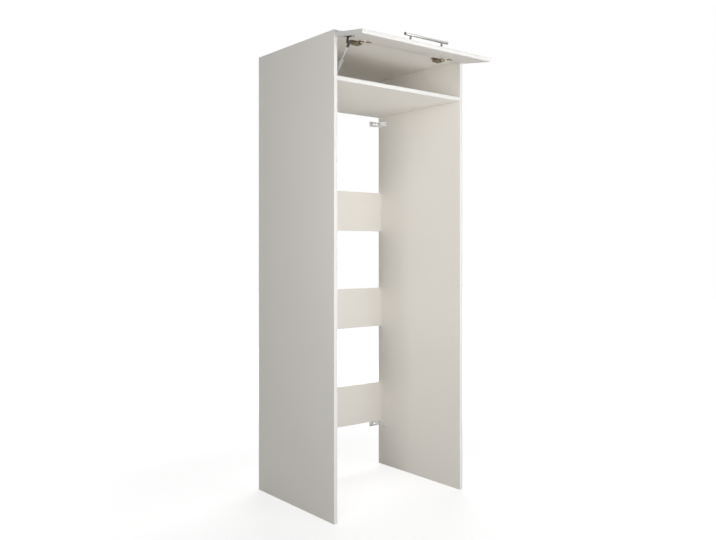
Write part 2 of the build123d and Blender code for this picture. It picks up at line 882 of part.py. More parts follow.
def strut_flap_bracket():
    """An angle on the flap with a stud that ends beside the strut's upper eye."""
    tab_x = flap_tab_x()
    middle = flap_top - ball_distance
    reach = strut_base_screw_spacing / 2 + strut_base_margin
    base = block(
        (tab_x, tab_x + strut_base_width),
        (flap_inner_y, flap_inner_y + strut_base_thickness),
        (middle - reach, middle + reach),
    )
    base = fillet(base.edges().filter_by(Axis.Y), strut_base_corner)
    half = strut_tab_width / 2
    ball_y = flap_inner_y + ball_standoff
    tab_range = (tab_x, tab_x + strut_tab_thickness)
    tab = block(tab_range, (flap_inner_y, ball_y), (middle - half, middle + half))
    tab += rod_x(strut_tab_width, tab_range, ball_y, middle)
    stud_end = strut_x() - socket_width / 2 - stud_gap
    stud = rod_x(stud_collar_diameter, (tab_x, stud_end), ball_y, middle, turned_sides)
    bracket = base + tab + stud
    for z in flap_base_screws():
        bore = screw_shank_diameter + 2 * screw_play
        across = (flap_inner_y, flap_inner_y + strut_base_thickness)
        bracket -= rod_y(bore, flap_base_x(), across, z, hidden_sides)
    return bracket


def strut_flap_screws():
    """Screws of the base on the flap."""
    for z in flap_base_screws():
        place = Pos(flap_base_x(), flap_inner_y + strut_base_thickness, z)
        yield place * Rot(-90, 0, 0) * board_screw()


# Writing the nodes


def save_carcass():
    """Boards, edging and the fittings that join them."""
    for name, sign in sides:
        save(f"{name}_side_panel", side_panel(sign))
        x_range = (sign * inner_half, sign * half_width)
        save(f"{name}_side_edge_band", front_band(x_range, (0, cabinet_height)))
    save("top_panel", top_panel())
    save("shelf_panel", shelf_panel())
    save("back_panel", back_panel())
    save("top_edge_band", front_band((-inner_half, inner_half), (top_underside, cabinet_height)))
    save("shelf_edge_band", front_band((-inner_half, inner_half), (shelf_underside, shelf_top)))
    for index, name in enumerate(rail_names):
        save(f"rail_{name}", rail(index))
    places = list(cam_places())
    save("cam_fittings", group(place * cam() for place, turn, y in places))
    save("connecting_bolts", group(place * bolt() for place, turn, y in places))
    cap = rod_z(cam_cap_diameter, 0, 0, (board / 2, board / 2 + cam_cap_thickness), cam_sides)
    front_cams = [place for place, turn, y in places if turn != -90 and y < 0]
    save("cam_caps", group(place * cap for place in front_cams))
    save("wood_dowels", group(dowel(sign, y, z) for _, sign in sides for y, z in joint_dowels))


def save_brackets():
    """Wall brackets and their screws."""
    heights = (("upper", bracket_upper_height), ("lower", bracket_lower_height))
    screws = []
    for level, height in heights:
        for name, sign in sides:
            save(f"wall_bracket_{level}_{name}", wall_bracket(sign, height))
            places = [(back_y - bracket_screw_inset, height)]
            screws += screws_on_side(sign, places, bracket_thickness)
    save("bracket_screws", group(screws))


def save_hinges():
    """Cup hinges, their plates and screws."""
    cup_screws = []
    pins = []
    plate_fixings = []
    adjusting = []
    for name, sign in sides:
        x_mid = sign * (half_width - hinge_inset)
        place = cup_place(sign)
        save(f"hinge_cup_{name}", opened(place * hinge_cup()))
        save(f"hinge_arm_{name}", hinge_arm(sign))
        save(f"hinge_plate_{name}", hinge_plate(sign))
        pins.append(opened(place * hinge_pin()))
        cup_screws += [opened(place * screw * board_screw()) for screw in cup_screw_places()]
        for x, y in plate_screws(sign):
            plate_fixings.append(Pos(x, y, top_underside - plate_thickness) * Rot(180, 0, 0) * board_screw())
        for setback, drop in adjusters():
            place = Pos(x_mid, front_y + setback, arm_web_top() - neck_thickness - drop)
            adjusting.append(place * Rot(180, 0, 0) * adjusting_screw(drop))
    save("hinge_pins", group(pins))
    save("hinge_cup_screws", group(cup_screws))
    save("hinge_plate_screws", group(plate_fixings))
    save("hinge_adjusting_screws", group(adjusting))


def save_flap():
    """The flap and its handle."""
    save("flap_panel", opened(flap_panel()))
    save("flap_edge_band", opened(flap_band()))
    save("handle_bar", opened(handle_bar()))
    save("handle_end_caps", group(opened(cap) for cap in handle_caps()))
    save("handle_posts", group(opened(post) for post in handle_posts()))
    save("handle_screws", group(opened(screw) for screw in handle_screws()))


def save_strut():
    """The gas strut and what carries it."""
    save("strut_side_bracket", strut_side_bracket())
    save("strut_side_screws", group(screws_on_side(-1, strut_plate_screws(), strut_plate_thickness)))
    save("strut_flap_bracket", opened(strut_flap_bracket()))
    save("strut_flap_screws", group(opened(screw) for screw in strut_flap_screws()))
    save("strut_lower_socket", on_strut(lower_socket()))
    save("strut_cylinder", on_strut(strut_cylinder()))
    save("strut_rod", on_strut(strut_rod()))
    save("strut_upper_socket", on_strut(upper_socket()))


os.makedirs("parts", exist_ok=True)
save_carcass()
save_brackets()
save_hinges()
save_flap()
save_strut()
anchor_y, anchor_z = anchor_point()
print("front plane y", round(front_y, 3), "back plane y", round(back_y, 3))
print("hinge axis y", round(front_y + pivot_y, 3), "z", round(pivot_z, 3))
print("strut anchor y", round(anchor_y, 3), "z", round(anchor_z, 3))
print("strut lengths", round(strut_open_length, 3), round(strut_closed_length, 3))
print("strut stroke", round(strut_stroke, 3))
print("strut leans", round(strut_open_lean, 3), round(strut_closed_lean, 3))
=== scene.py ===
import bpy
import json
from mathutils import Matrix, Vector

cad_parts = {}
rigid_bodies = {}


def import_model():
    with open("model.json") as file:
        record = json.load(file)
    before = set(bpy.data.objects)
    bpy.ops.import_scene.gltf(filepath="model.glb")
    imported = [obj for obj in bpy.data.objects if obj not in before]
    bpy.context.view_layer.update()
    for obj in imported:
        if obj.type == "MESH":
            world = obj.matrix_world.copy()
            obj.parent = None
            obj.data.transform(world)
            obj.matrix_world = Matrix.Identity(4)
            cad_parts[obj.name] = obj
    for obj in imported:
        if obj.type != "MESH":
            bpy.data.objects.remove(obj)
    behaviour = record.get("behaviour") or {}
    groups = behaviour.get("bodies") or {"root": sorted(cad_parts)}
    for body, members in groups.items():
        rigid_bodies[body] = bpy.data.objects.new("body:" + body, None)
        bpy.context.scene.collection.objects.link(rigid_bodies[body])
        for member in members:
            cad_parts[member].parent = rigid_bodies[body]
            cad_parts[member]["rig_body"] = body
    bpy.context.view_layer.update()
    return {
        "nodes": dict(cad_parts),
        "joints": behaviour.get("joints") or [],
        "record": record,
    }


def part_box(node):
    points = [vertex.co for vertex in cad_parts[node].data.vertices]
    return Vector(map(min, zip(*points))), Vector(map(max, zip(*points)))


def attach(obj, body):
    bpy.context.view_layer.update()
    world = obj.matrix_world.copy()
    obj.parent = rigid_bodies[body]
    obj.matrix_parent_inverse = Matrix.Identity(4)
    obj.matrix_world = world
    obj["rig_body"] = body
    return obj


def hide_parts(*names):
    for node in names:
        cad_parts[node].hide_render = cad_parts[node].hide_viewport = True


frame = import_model()

import json
import math

import bmesh
import bpy
from mathutils import Matrix, Vector
from mathutils.geometry import convex_hull_2d

# Metres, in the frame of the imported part: +Y to the wall, -Y to the front. The forms that
# are turned or cut from flat, and the sizes named in their sections, are in millimetres.
MM = 0.001
NODES = frame["nodes"]
JOINTS = {joint["name"]: joint for joint in frame["joints"]}
SLOTS = {subpart["node"]: subpart["material_slot"] for subpart in frame["record"]["subparts"]}

# Camera, as fitted to the photograph's straight edges in its 716 x 540 frame; yaw in degrees
IMAGE_WIDTH = 716
IMAGE_HEIGHT = 540
FOCAL_PIXELS = 769.9
AXIS_PIXEL = (369.9, 250.8)
SENSOR = 36.0
CAMERA_PLACE = (-2.0960, -2.5778, 1.0500)
CAMERA_YAW = 38.886

# Light on matt surfaces from the sky, where 1 is white
DIFFUSE_SKY = 0.176
# Each lamp's name, place, target, width and height, and power in watts
LAMPS = (
    ("left_lamp", (-3.2, -2.4, 1.2), (-0.3, 0.0, 1.0), (1.6, 1.6), 42.0),
    ("high_left_lamp", (-3.0, -2.2, 2.6), (-0.3, 0.0, 1.2), (1.6, 1.6), 21.0),
    ("right_lamp", (1.6, -3.0, 1.7), (0.1, 0.0, 1.2), (1.4, 1.4), 4.8),
    ("front_lamp", (0.2, -2.2, 0.3), (0.0, 0.0, 0.4), (1.4, 0.5), 10.5),
    ("low_lamp", (0.9, -2.2, 0.4), (-0.1, 0.1, 1.8), (1.0, 0.8), 11.0),
    ("compartment_lamp", (0.1, -1.5, 1.55), (0.1, 0.3, 1.86), (0.8, 0.25), 6.5),
    ("flap_lamp", (-1.0, -1.0, 1.1), (-0.2, -0.2, 1.9), (0.6, 0.6), 1.2),
    ("rear_lamp", (1.6, 1.9, 4.0), (0.0, 0.1, 1.5), (2.2, 2.2), 90.0),
)
# The floor's own glow near the part, where its shadow shows, and further away
FLOOR_REACH = 14.0
FLOOR_COLOUR = 0.45
FLOOR_GLOW_NEAR = 0.68
FLOOR_GLOW_FAR = 1.0
FLOOR_IN_GLOSS = 0.3
FLOOR_NEAR = 0.9
FLOOR_FAR = 2.6

# Places read from the frame
FRONT_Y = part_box("left_side_edge_band")[0].y
INNER_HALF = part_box("right_side_panel")[0].x
PIVOT = Vector(JOINTS["flap_hinge"]["pos_m"])
OPEN_ANGLE = -min(JOINTS["flap_hinge"]["range_deg"])
ANCHOR = Vector(JOINTS["strut_pivot"]["pos_m"])
STRUT_AXIS = Vector(JOINTS["strut_slide"]["axis"]).normalized()

# Softened edges, in metres
BOARD_EDGE = 0.15 * MM
BOARD_EDGE_MIN_LENGTH = 10 * MM
BAND_ROUND = 0.8 * MM
BAND_STEPS = 4
FRONT_EDGE_MIN_LENGTH = 100 * MM
RIM_EDGE_MIN_LENGTH = 20 * MM
RIM_PLAY = 0.02 * MM
PRESSED_EDGE = 0.25 * MM
PRESSED_STEPS = 2

# Points closer than this are one
MERGE = 0.002 * MM
# How far under the top board a cam's middle may lie and still be the board's own
CAM_MARGIN = 2 * MM

# The least angle of a softened and of a sharp edge, and the most of a flat one
SOFTENED_ANGLE = math.radians(40)
SHARP_ANGLE = math.radians(35)
FLAT_ANGLE = math.radians(0.5)

# Roundness, and the degrees that each screw is turned further than the last
ROUND_STEPS = 64
SMALL_STEPS = 40
HOLE_STEPS = 24
CORNER_STEPS = 4
ROUND_END_STEPS = 8
SCREW_TURN = 37

# Plates, in millimetres
PLATE_RIM = 0.3
SCREW_HOLE_RADIUS = 1.8


def node_tree(owner):
    """The owner's node tree, emptied."""
    owner.use_nodes = True
    tree = owner.node_tree
    tree.nodes.clear()
    return tree


def link(tree, source, target):
    """Joins two sockets."""
    tree.links.new(source, target)


def seen_by_eye_or_gloss(tree, in_gloss=1.0):
    """1 for camera and transmission rays, a level for glossy ones, 0 for diffuse light."""
    path = tree.nodes.new("ShaderNodeLightPath")
    total = path.outputs["Is Camera Ray"]
    for name, level in (("Is Transmission Ray", 1.0), ("Is Glossy Ray", in_gloss)):
        scaled_ray = tree.nodes.new("ShaderNodeMath")
        scaled_ray.operation = "MULTIPLY"
        link(tree, path.outputs[name], scaled_ray.inputs[0])
        scaled_ray.inputs[1].default_value = level
        larger = tree.nodes.new("ShaderNodeMath")
        larger.operation = "MAXIMUM"
        link(tree, total, larger.inputs[0])
        link(tree, scaled_ray.outputs[0], larger.inputs[1])
        total = larger.outputs[0]
    return total


def make_camera():
    """The photograph's view: level, with a small shift for its framing."""
    data = bpy.data.cameras.new("camera")
    data.sensor_width = SENSOR
    data.lens = FOCAL_PIXELS / IMAGE_WIDTH * SENSOR
    data.shift_x = -(AXIS_PIXEL[0] - IMAGE_WIDTH / 2) / IMAGE_WIDTH
    data.shift_y = (AXIS_PIXEL[1] - IMAGE_HEIGHT / 2) / IMAGE_WIDTH
    data.clip_end = 50
    camera = bpy.data.objects.new("camera", data)
    bpy.context.scene.collection.objects.link(camera)
    camera.location = CAMERA_PLACE
    camera.rotation_euler = (math.radians(90), 0, math.radians(-CAMERA_YAW))
    bpy.context.scene.camera = camera


def make_world():
    """White to the eye and in reflections, plain grey light on matt surfaces."""
    world = bpy.data.worlds.new("studio")
    bpy.context.scene.world = world
    tree = node_tree(world)
    strength = tree.nodes.new("ShaderNodeMapRange")
    strength.inputs["To Min"].default_value = DIFFUSE_SKY
    strength.inputs["To Max"].default_value = 1.0
    link(tree, seen_by_eye_or_gloss(tree), strength.inputs["Value"])
    background = tree.nodes.new("ShaderNodeBackground")
    background.inputs["Color"].default_value = (1, 1, 1, 1)
    link(tree, strength.outputs["Result"], background.inputs["Strength"])
    output = tree.nodes.new("ShaderNodeOutputWorld")
    link(tree, background.outputs[0], output.inputs["Surface"])


def make_lamps():
    """Soft boxes, which light the part and aren't seen themselves."""
    for name, place, target, size, power in LAMPS:
        data = bpy.data.lights.new(name, "AREA")
        data.shape = "RECTANGLE"
        data.size, data.size_y = size
        data.energy = power
        lamp = bpy.data.objects.new(name, data)
        bpy.context.scene.collection.objects.link(lamp)
        lamp.location = place
        direction = Vector(target) - Vector(place)
        lamp.rotation_euler = direction.to_track_quat("-Z", "Y").to_euler()
        lamp.visible_camera = False


def make_floor():
    """A pale floor that keeps the shadow near the part and is white further out."""
    mesh = bpy.data.meshes.new("floor")
    far = FLOOR_REACH
    corners = [(-far, -far, 0), (far, -far, 0), (far, far, 0), (-far, far, 0)]
    mesh.from_pydata(corners, [], [(0, 1, 2, 3)])
    floor = bpy.data.objects.new("floor", mesh)
    bpy.context.scene.collection.objects.link(floor)
    material = bpy.data.materials.new("floor")
    tree = node_tree(material)
    diffuse = tree.nodes.new("ShaderNodeBsdfDiffuse")
    diffuse.inputs["Color"].default_value = (FLOOR_COLOUR, FLOOR_COLOUR, FLOOR_COLOUR, 1)
    distance = tree.nodes.new("ShaderNodeVectorMath")
    distance.operation = "LENGTH"
    place = tree.nodes.new("ShaderNodeTexCoord")
    link(tree, place.outputs["Object"], distance.inputs[0])
    level = tree.nodes.new("ShaderNodeMapRange")
    level.interpolation_type = "SMOOTHSTEP"
    level.inputs["From Min"].default_value = FLOOR_NEAR
    level.inputs["From Max"].default_value = FLOOR_FAR
    level.inputs["To Min"].default_value = FLOOR_GLOW_NEAR
    level.inputs["To Max"].default_value = FLOOR_GLOW_FAR
    link(tree, distance.outputs["Value"], level.inputs["Value"])
    strength = tree.nodes.new("ShaderNodeMath")
    strength.operation = "MULTIPLY"
    link(tree, seen_by_eye_or_gloss(tree, FLOOR_IN_GLOSS), strength.inputs[0])
    link(tree, level.outputs["Result"], strength.inputs[1])
    glow = tree.nodes.new("ShaderNodeEmission")
    glow.inputs["Color"].default_value = (1, 1, 1, 1)
    link(tree, strength.outputs[0], glow.inputs["Strength"])
    add = tree.nodes.new("ShaderNodeAddShader")
    link(tree, diffuse.outputs[0], add.inputs[0])
    link(tree, glow.outputs[0], add.inputs[1])
    output = tree.nodes.new("ShaderNodeOutputMaterial")
    link(tree, add.outputs[0], output.inputs["Surface"])
    mesh.materials.append(material)


# Finishes

MELAMINE = (0.90, 0.872, 0.82)
EDGING = (0.80, 0.79, 0.77)
# Most of a noise lies between these levels
NOISE_LOW = 0.3
NOISE_HIGH = 0.7


class Finish:
    """A Principled material with helpers for its node network."""

    def __init__(self, name, colour, roughness, metallic=0.0, specular=0.5):
        self.material = bpy.data.materials.new(name)
        self.tree = node_tree(self.material)
        self.shader = self.node("ShaderNodeBsdfPrincipled")
        self.shader.inputs["Base Color"].default_value = (*colour, 1)
        self.shader.inputs["Roughness"].default_value = roughness
        self.shader.inputs["Metallic"].default_value = metallic
        self.shader.inputs["Specular IOR Level"].default_value = specular
        output = self.node("ShaderNodeOutputMaterial")
        link(self.tree, self.shader.outputs[0], output.inputs["Surface"])
        self.colour = colour
        self.place = self.node("ShaderNodeTexCoord").outputs["Object"]
        self.bump_output = None

    def node(self, kind):
        """A new node of the material."""
        return self.tree.nodes.new(kind)

    def stretched(self, scale):
        """Object coordinates stretched along each axis."""
        mapping = self.node("ShaderNodeMapping")
        mapping.inputs["Scale"].default_value = scale
        link(self.tree, self.place, mapping.inputs["Vector"])
        return mapping.outputs[0]

    def noise(self, scale, detail, stretch=None):
        """Noise from 0 to 1 at a scale per metre."""
        texture = self.node("ShaderNodeTexNoise")
        texture.inputs["Scale"].default_value = scale
        texture.inputs["Detail"].default_value = detail
        source = self.stretched(stretch) if stretch else self.place
        link(self.tree, source, texture.inputs["Vector"])
        return texture.outputs["Fac"]

    def cells(self, scale, stretch=None):
        """A random value from 0 to 1 for each cell of a broken pattern."""
        texture = self.node("ShaderNodeTexVoronoi")
        texture.inputs["Scale"].default_value = scale
        source = self.stretched(stretch) if stretch else self.place
        link(self.tree, source, texture.inputs["Vector"])
        split = self.node("ShaderNodeSeparateColor")
        link(self.tree, texture.outputs["Color"], split.inputs[0])
        return split.outputs[0]

    def ramp(self, source, stops):
        """A colour ramp over a value."""
        ramp = self.node("ShaderNodeValToRGB")
        elements = ramp.color_ramp.elements
        while len(elements) < len(stops):
            elements.new(0.5)
        for element, (position, colour) in zip(elements, stops):
            element.position = position
            element.color = (*colour, 1)
        link(self.tree, source, ramp.inputs[0])
        return ramp.outputs[0]

    def span(self, source, low, high, to_low, to_high):
        """A value mapped from one range to another, clamped."""
        node = self.node("ShaderNodeMapRange")
        node.inputs["From Min"].default_value = low
        node.inputs["From Max"].default_value = high
        node.inputs["To Min"].default_value = to_low
        node.inputs["To Max"].default_value = to_high
        link(self.tree, source, node.inputs["Value"])
        return node.outputs["Result"]

    def vary_colour(self, amount, scale):
        """Gives the colour slight light and dark patches."""
        low = tuple(c * (1 - amount) for c in self.colour)
        high = tuple(min(c * (1 + amount), 1) for c in self.colour)
        self.set_colour(self.ramp(self.noise(scale, 3.0), [(NOISE_LOW, low), (NOISE_HIGH, high)]))

    def vary_roughness(self, scale, detail, smoothest, roughest):
        """Gives the roughness soft patches between two levels."""
        patches = self.noise(scale, detail)
        self.set_roughness(self.span(patches, NOISE_LOW, NOISE_HIGH, smoothest, roughest))

    def bump(self, height, distance, strength):
        """Surface relief, added to what is there."""
        node = self.node("ShaderNodeBump")
        node.inputs["Distance"].default_value = distance
        node.inputs["Strength"].default_value = strength
        link(self.tree, height, node.inputs["Height"])
        if self.bump_output:
            link(self.tree, self.bump_output, node.inputs["Normal"])
        self.bump_output = node.outputs[0]
        link(self.tree, self.bump_output, self.shader.inputs["Normal"])

    def set_colour(self, source):
        """Takes the colour from a socket."""
        link(self.tree, source, self.shader.inputs["Base Color"])

    def set_roughness(self, source):
        """Takes the roughness from a socket."""
        link(self.tree, source, self.shader.inputs["Roughness"])


def white_melamine(name="white_melamine"):
    """Matt white facing with a fine pearl and faint handling marks."""
    finish = Finish(name, MELAMINE, 0.55, specular=0.2)
    finish.vary_colour(0.008, 3.0)
    finish.vary_roughness(14.0, 4.0, 0.53, 0.58)
    finish.bump(finish.noise(1400.0, 1.0), 0.03 * MM, 0.5)
    return finish.material


def raw_chipboard():
    """The bare edge of a board: pressed flakes, coarse in the middle."""
    finish = Finish("raw_chipboard", (0.55, 0.42, 0.28), 0.8)
    flakes = finish.cells(650.0, (1.0, 1.0, 0.45))
    stops = [(0.1, (0.43, 0.31, 0.20)), (0.45, (0.56, 0.43, 0.29)), (0.9, (0.66, 0.54, 0.38))]
    finish.set_colour(finish.ramp(flakes, stops))
    finish.bump(flakes, 0.2 * MM, 0.6)
    finish.bump(finish.noise(1800.0, 3.0), 0.1 * MM, 0.6)
    return finish.material


def raw_hardboard():
    """The brown rear face of thin hardboard, with its screen mark."""
    finish = Finish("raw_hardboard", (0.40, 0.28, 0.18), 0.7)
    fibres = finish.noise(300.0, 4.0, (1.0, 1.0, 2.0))
    stops = [(NOISE_LOW, (0.34, 0.23, 0.14)), (NOISE_HIGH, (0.46, 0.33, 0.21))]
    finish.set_colour(finish.ramp(fibres, stops))
    finish.bump(finish.noise(900.0, 2.0), 0.1 * MM, 0.5)
    return finish.material


def white_edging():
    """Smooth plastic edging with faint lengthwise lines."""
    finish = Finish("white_edging", EDGING, 0.45, specular=0.2)
    finish.vary_colour(0.006, 6.0)
    finish.vary_roughness(40.0, 3.0, 0.40, 0.48)
    finish.bump(finish.noise(500.0, 1.0), 0.01 * MM, 0.4)
    return finish.material


def metal(name, colour, roughness, patch=0.03, grain=None, edge=1.0):
    """A metal with slight patches and, if asked for, a fine grain and a darker grazing gloss."""
    finish = Finish(name, colour, roughness, metallic=1.0)
    finish.shader.inputs["Specular Tint"].default_value = (edge, edge, edge, 1)
    finish.vary_colour(patch, 60.0)
    finish.vary_roughness(120.0, 3.0, roughness * 0.85, roughness * 1.2)
    if grain:
        scale, stretch, depth = grain
        finish.bump(finish.noise(scale, 1.0, stretch), depth, 0.6)
    return finish.material


def zinc_plating():
    """Zinc plating with pale and darker crystals."""
    finish = Finish("zinc_plated_steel", (0.80, 0.80, 0.79), 0.36, metallic=1.0)
    crystals = finish.cells(260.0)
    finish.set_colour(finish.ramp(crystals, [(0.1, (0.75, 0.75, 0.74)), (0.9, (0.84, 0.84, 0.83))]))
    finish.set_roughness(finish.span(crystals, 0.0, 1.0, 0.28, 0.40))
    return finish.material


def plastic(name, colour, roughness):
    """A moulded plastic with a fine spark-eroded texture."""
    finish = Finish(name, colour, roughness)
    finish.vary_colour(0.03, 80.0)
    finish.bump(finish.noise(3000.0, 1.0), 0.02 * MM, 0.4)
    return finish.material


def beech():
    """Bare beech with flecks along the pin."""
    finish = Finish("beech", (0.62, 0.43, 0.26), 0.6)
    grain = finish.noise(120.0, 4.0, (0.08, 1, 1))
    finish.set_colour(finish.ramp(grain, [(0.35, (0.50, 0.33, 0.19)), (0.65, (0.68, 0.49, 0.31))]))
    finish.bump(grain, 0.1 * MM, 0.4)
    return finish.material


def make_finishes():
    """One material for each slot of the record, the bare ones, and the darkened ones; the darkened
    nickel is painted shade.
    """
    round_the_bar = (2200.0, (0.03, 1.0, 1.0), 0.01 * MM)
    cast_skin = (700.0, None, 0.05 * MM)
    return {
        "white_melamine": white_melamine(),
        "white_hardboard": white_melamine("white_hardboard"),
        "white_edging": white_edging(),
        "zinc_plated_steel": zinc_plating(),
        "zinc_casting": metal("zinc_casting", (0.50, 0.50, 0.49), 0.42, 0.06, cast_skin),
        "white_plastic": plastic("white_plastic", (0.86, 0.85, 0.82), 0.35),
        "beech": beech(),
        "nickel_plated_steel": metal("nickel_plated_steel", (0.36, 0.33, 0.28), 0.30, edge=0.6),
        # A second nickel, darkened and browned as painted shade: it stands in for the dark compartment
        # that the hinges' arms and plates reflect.
        "nickel_with_painted_shade": metal("nickel_with_painted_shade", (0.42, 0.36, 0.28), 0.32, edge=0.6),
        "satin_steel": metal("satin_steel", (0.60, 0.59, 0.57), 0.28, 0.02, round_the_bar, 0.6),
        # Painted shade: the dark colour stands in for the dark room that the handle's posts reflect.
        "dark_steel": metal("dark_steel", (0.16, 0.15, 0.14), 0.3, edge=0.6),
        "black_steel": metal("black_steel", (0.06, 0.05, 0.042), 0.36, edge=0.5),
        "white_lacquered_steel": plastic("white_lacquered_steel", (0.84, 0.83, 0.80), 0.3),
        "grey_painted_steel": plastic("grey_painted_steel", (0.37, 0.37, 0.35), 0.38),
        "chromed_rod": metal("chromed_rod", (0.62, 0.61, 0.58), 0.2, 0.01, edge=0.4),
        "black_plastic": plastic("black_plastic", (0.045, 0.042, 0.04), 0.4),
        "raw_chipboard": raw_chipboard(),
        "raw_hardboard": raw_hardboard(),
    }


# Mesh tools


def mesh_from(bm):
    """A mesh from a bmesh, with its faces turned outwards."""
    bmesh.ops.recalc_face_normals(bm, faces=bm.faces[:])
    mesh = bpy.data.meshes.new("piece")
    bm.to_mesh(mesh)
    bm.free()
    return mesh


def bmesh_of(mesh):
    """A bmesh that holds a mesh."""
    bm = bmesh.new()
    bm.from_mesh(mesh)
    return bm


def placed(mesh, matrix):
    """A copy of a mesh moved by a matrix."""
    copy = mesh.copy()
    copy.transform(matrix)
    if matrix.determinant() < 0:
        copy.flip_normals()
    return copy


def joined(meshes):
    """Several meshes as one."""
    bm = bmesh.new()
    for mesh in meshes:
        bm.from_mesh(mesh)
    return mesh_from(bm)


def turn_angles(steps, offset=0.0):
    """Even angles round a turn, from an offset in steps."""
    return [2 * math.pi * (step + offset) / steps for step in range(steps)]


def circle(x, y, radius, steps=SMALL_STEPS):
    """Points of a circle."""
    return [(x + radius * math.cos(a), y + radius * math.sin(a)) for a in turn_angles(steps)]


def rectangle(x_range, y_range):
    """Corners of a rectangle."""
    (left, right), (low, high) = x_range, y_range
    return [(left, low), (right, low), (right, high), (left, high)]


def rounded(points, radii, closed=False, steps=CORNER_STEPS):
    """The points of an outline with each corner rounded by its own radius."""
    result = []
    count = len(points)
    for index, (point, radius) in enumerate(zip(points, radii)):
        if not radius or (not closed and index in (0, count - 1)):
            result.append(tuple(point))
            continue
        corner = Vector(point)
        before = (Vector(points[index - 1]) - corner).normalized()
        after = (Vector(points[(index + 1) % count]) - corner).normalized()
        half_angle = before.angle(after) / 2
        setback = radius / math.tan(half_angle)
        centre = corner + (before + after).normalized() * radius / math.sin(half_angle)
        start = corner + before * setback - centre
        end = corner + after * setback - centre
        first = math.atan2(start.y, start.x)
        turn = (math.atan2(end.y, end.x) - first + math.pi) % (2 * math.pi) - math.pi
        for step in range(steps + 1):
            angle = first + turn * step / steps
            result.append((centre.x + radius * math.cos(angle), centre.y + radius * math.sin(angle)))
    return result


def round_cornered(points, radius, steps=CORNER_STEPS):
    """A closed outline with the same radius at each corner."""
    return rounded(points, [radius] * len(points), closed=True, steps=steps)


def ring(bm, radii, height, angles):
    """Points round Z at a height, with a radius for each angle, all in millimetres."""
    return [
        bm.verts.new((radius * MM * math.cos(a), radius * MM * math.sin(a), height * MM))
        for radius, a in zip(radii, angles)
    ]


def profile_rings(bm, profile, angles):
    """A ring for each (radius, height) point, or one point on the axis for a radius of 0."""
    rings = []
    for radius, height in profile:
        count = len(angles) if radius else 1
        rings.append(ring(bm, [radius] * count, height, angles))
    return rings


def skin(bm, rings, steps):
    """Faces between neighbouring rings; a ring of one point is an end."""
    for lower, upper in zip(rings, rings[1:]):
        for step in range(steps):
            following = (step + 1) % steps
            corners = []
            for level in (lower, upper):
                pair = [level[0]] if len(level) == 1 else [level[step], level[following]]
                corners.append(pair)
            bm.faces.new(corners[0] + corners[1][::-1])


def turned(profile, radii=None, steps=SMALL_STEPS, corner_steps=CORNER_STEPS):
    """A form turned round Z from (radius, height) points, with the radii given at its corners."""
    if radii:
        profile = rounded(profile, radii, steps=corner_steps)
    bm = bmesh.new()
    skin(bm, profile_rings(bm, profile, turn_angles(steps)), steps)
    return mesh_from(bm)


def slab(outline, holes, thickness, rim):
    """A flat plate with holes and a rounded rim, from z = 0 up."""
    bm = bmesh.new()
    edges = []
    for loop in [outline, *holes]:
        verts = [bm.verts.new((x * MM, y * MM, 0)) for x, y in loop]
        edges += [bm.edges.new((verts[index - 1], verts[index])) for index in range(len(verts))]
    bmesh.ops.triangle_fill(bm, use_beauty=True, edges=edges)
    extruded = bmesh.ops.extrude_face_region(bm, geom=bm.faces[:])
    lifted = [item for item in extruded["geom"] if isinstance(item, bmesh.types.BMVert)]
    bmesh.ops.translate(bm, verts=lifted, vec=(0, 0, thickness * MM))
    bmesh.ops.recalc_face_normals(bm, faces=bm.faces[:])
    soften(bm, rim * MM, PRESSED_STEPS)
    return mesh_from(bm)


def soften(bm, width, segments, chosen=None):
    """Rounds the outward edges of a form, or those that the test accepts."""
    edges = []
    for edge in bm.edges:
        if not edge.is_manifold or edge.calc_face_angle() < SOFTENED_ANGLE or not edge.is_convex:
            continue
        if chosen is None or chosen(edge):
            edges.append(edge)
    if edges and width:
        bmesh.ops.bevel(bm, geom=edges, offset=width, segments=segments, profile=0.5, affect="EDGES")


def combined(first, second, operation):
    """The first mesh joined with the second, or cut by it."""
    objects = []
    for mesh in (first, second):
        thing = bpy.data.objects.new("working", mesh)
        bpy.context.scene.collection.objects.link(thing)
        objects.append(thing)
    modifier = objects[0].modifiers.new("combine", "BOOLEAN")
    modifier.operation = operation
    modifier.object = objects[1]
    modifier.solver = "EXACT"
    depsgraph = bpy.context.evaluated_depsgraph_get()
    result = bpy.data.meshes.new_from_object(objects[0].evaluated_get(depsgraph))
    for thing in objects:
        bpy.data.objects.remove(thing)
    bm = bmesh_of(result)
    bmesh.ops.remove_doubles(bm, verts=bm.verts[:], dist=MERGE)
    return mesh_from(bm)


def cad_form(node):
    """A node's solids as a clean bmesh, with flat faces made whole."""
    bm = bmesh_of(NODES[node].data)
    bmesh.ops.remove_doubles(bm, verts=bm.verts[:], dist=MERGE)
    bmesh.ops.dissolve_limit(bm, angle_limit=FLAT_ANGLE, verts=bm.verts[:], edges=bm.edges[:])
    bmesh.ops.recalc_face_normals(bm, faces=bm.faces[:])
    return bm


def finished(mesh, node, *names, smooth=True):
    """Shows a mesh in a node's place, on its body, in the named finishes or in its slot's."""
    for name in names or (SLOTS[node],):
        mesh.materials.append(finishes[name])
    if smooth:
        mesh.polygons.foreach_set("use_smooth", [True] * len(mesh.polygons))
        mesh.set_sharp_from_angle(angle=SHARP_ANGLE)
    piece = bpy.data.objects.new(f"{node}_finished", mesh)
    bpy.context.scene.collection.objects.link(piece)
    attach(piece, NODES[node]["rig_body"])
    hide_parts(node)


# Where things are


def rotation_about(point, angle):
    """A turn about a line along X through a point."""
    there = Matrix.Translation(point)
    return there @ Matrix.Rotation(math.radians(angle), 4, "X") @ there.inverted()


# From the flap's closed place to its open one
OPENED = rotation_about(PIVOT, -OPEN_ANGLE)
# A flat form stood up to face along X, with its own Y up, or along Y, with its own X up
FACING_X = Matrix(((0, 0, 1), (1, 0, 0), (0, 1, 0))).to_4x4()
FACING_Y = Matrix(((0, 1, 0), (0, 0, 1), (1, 0, 0))).to_4x4()
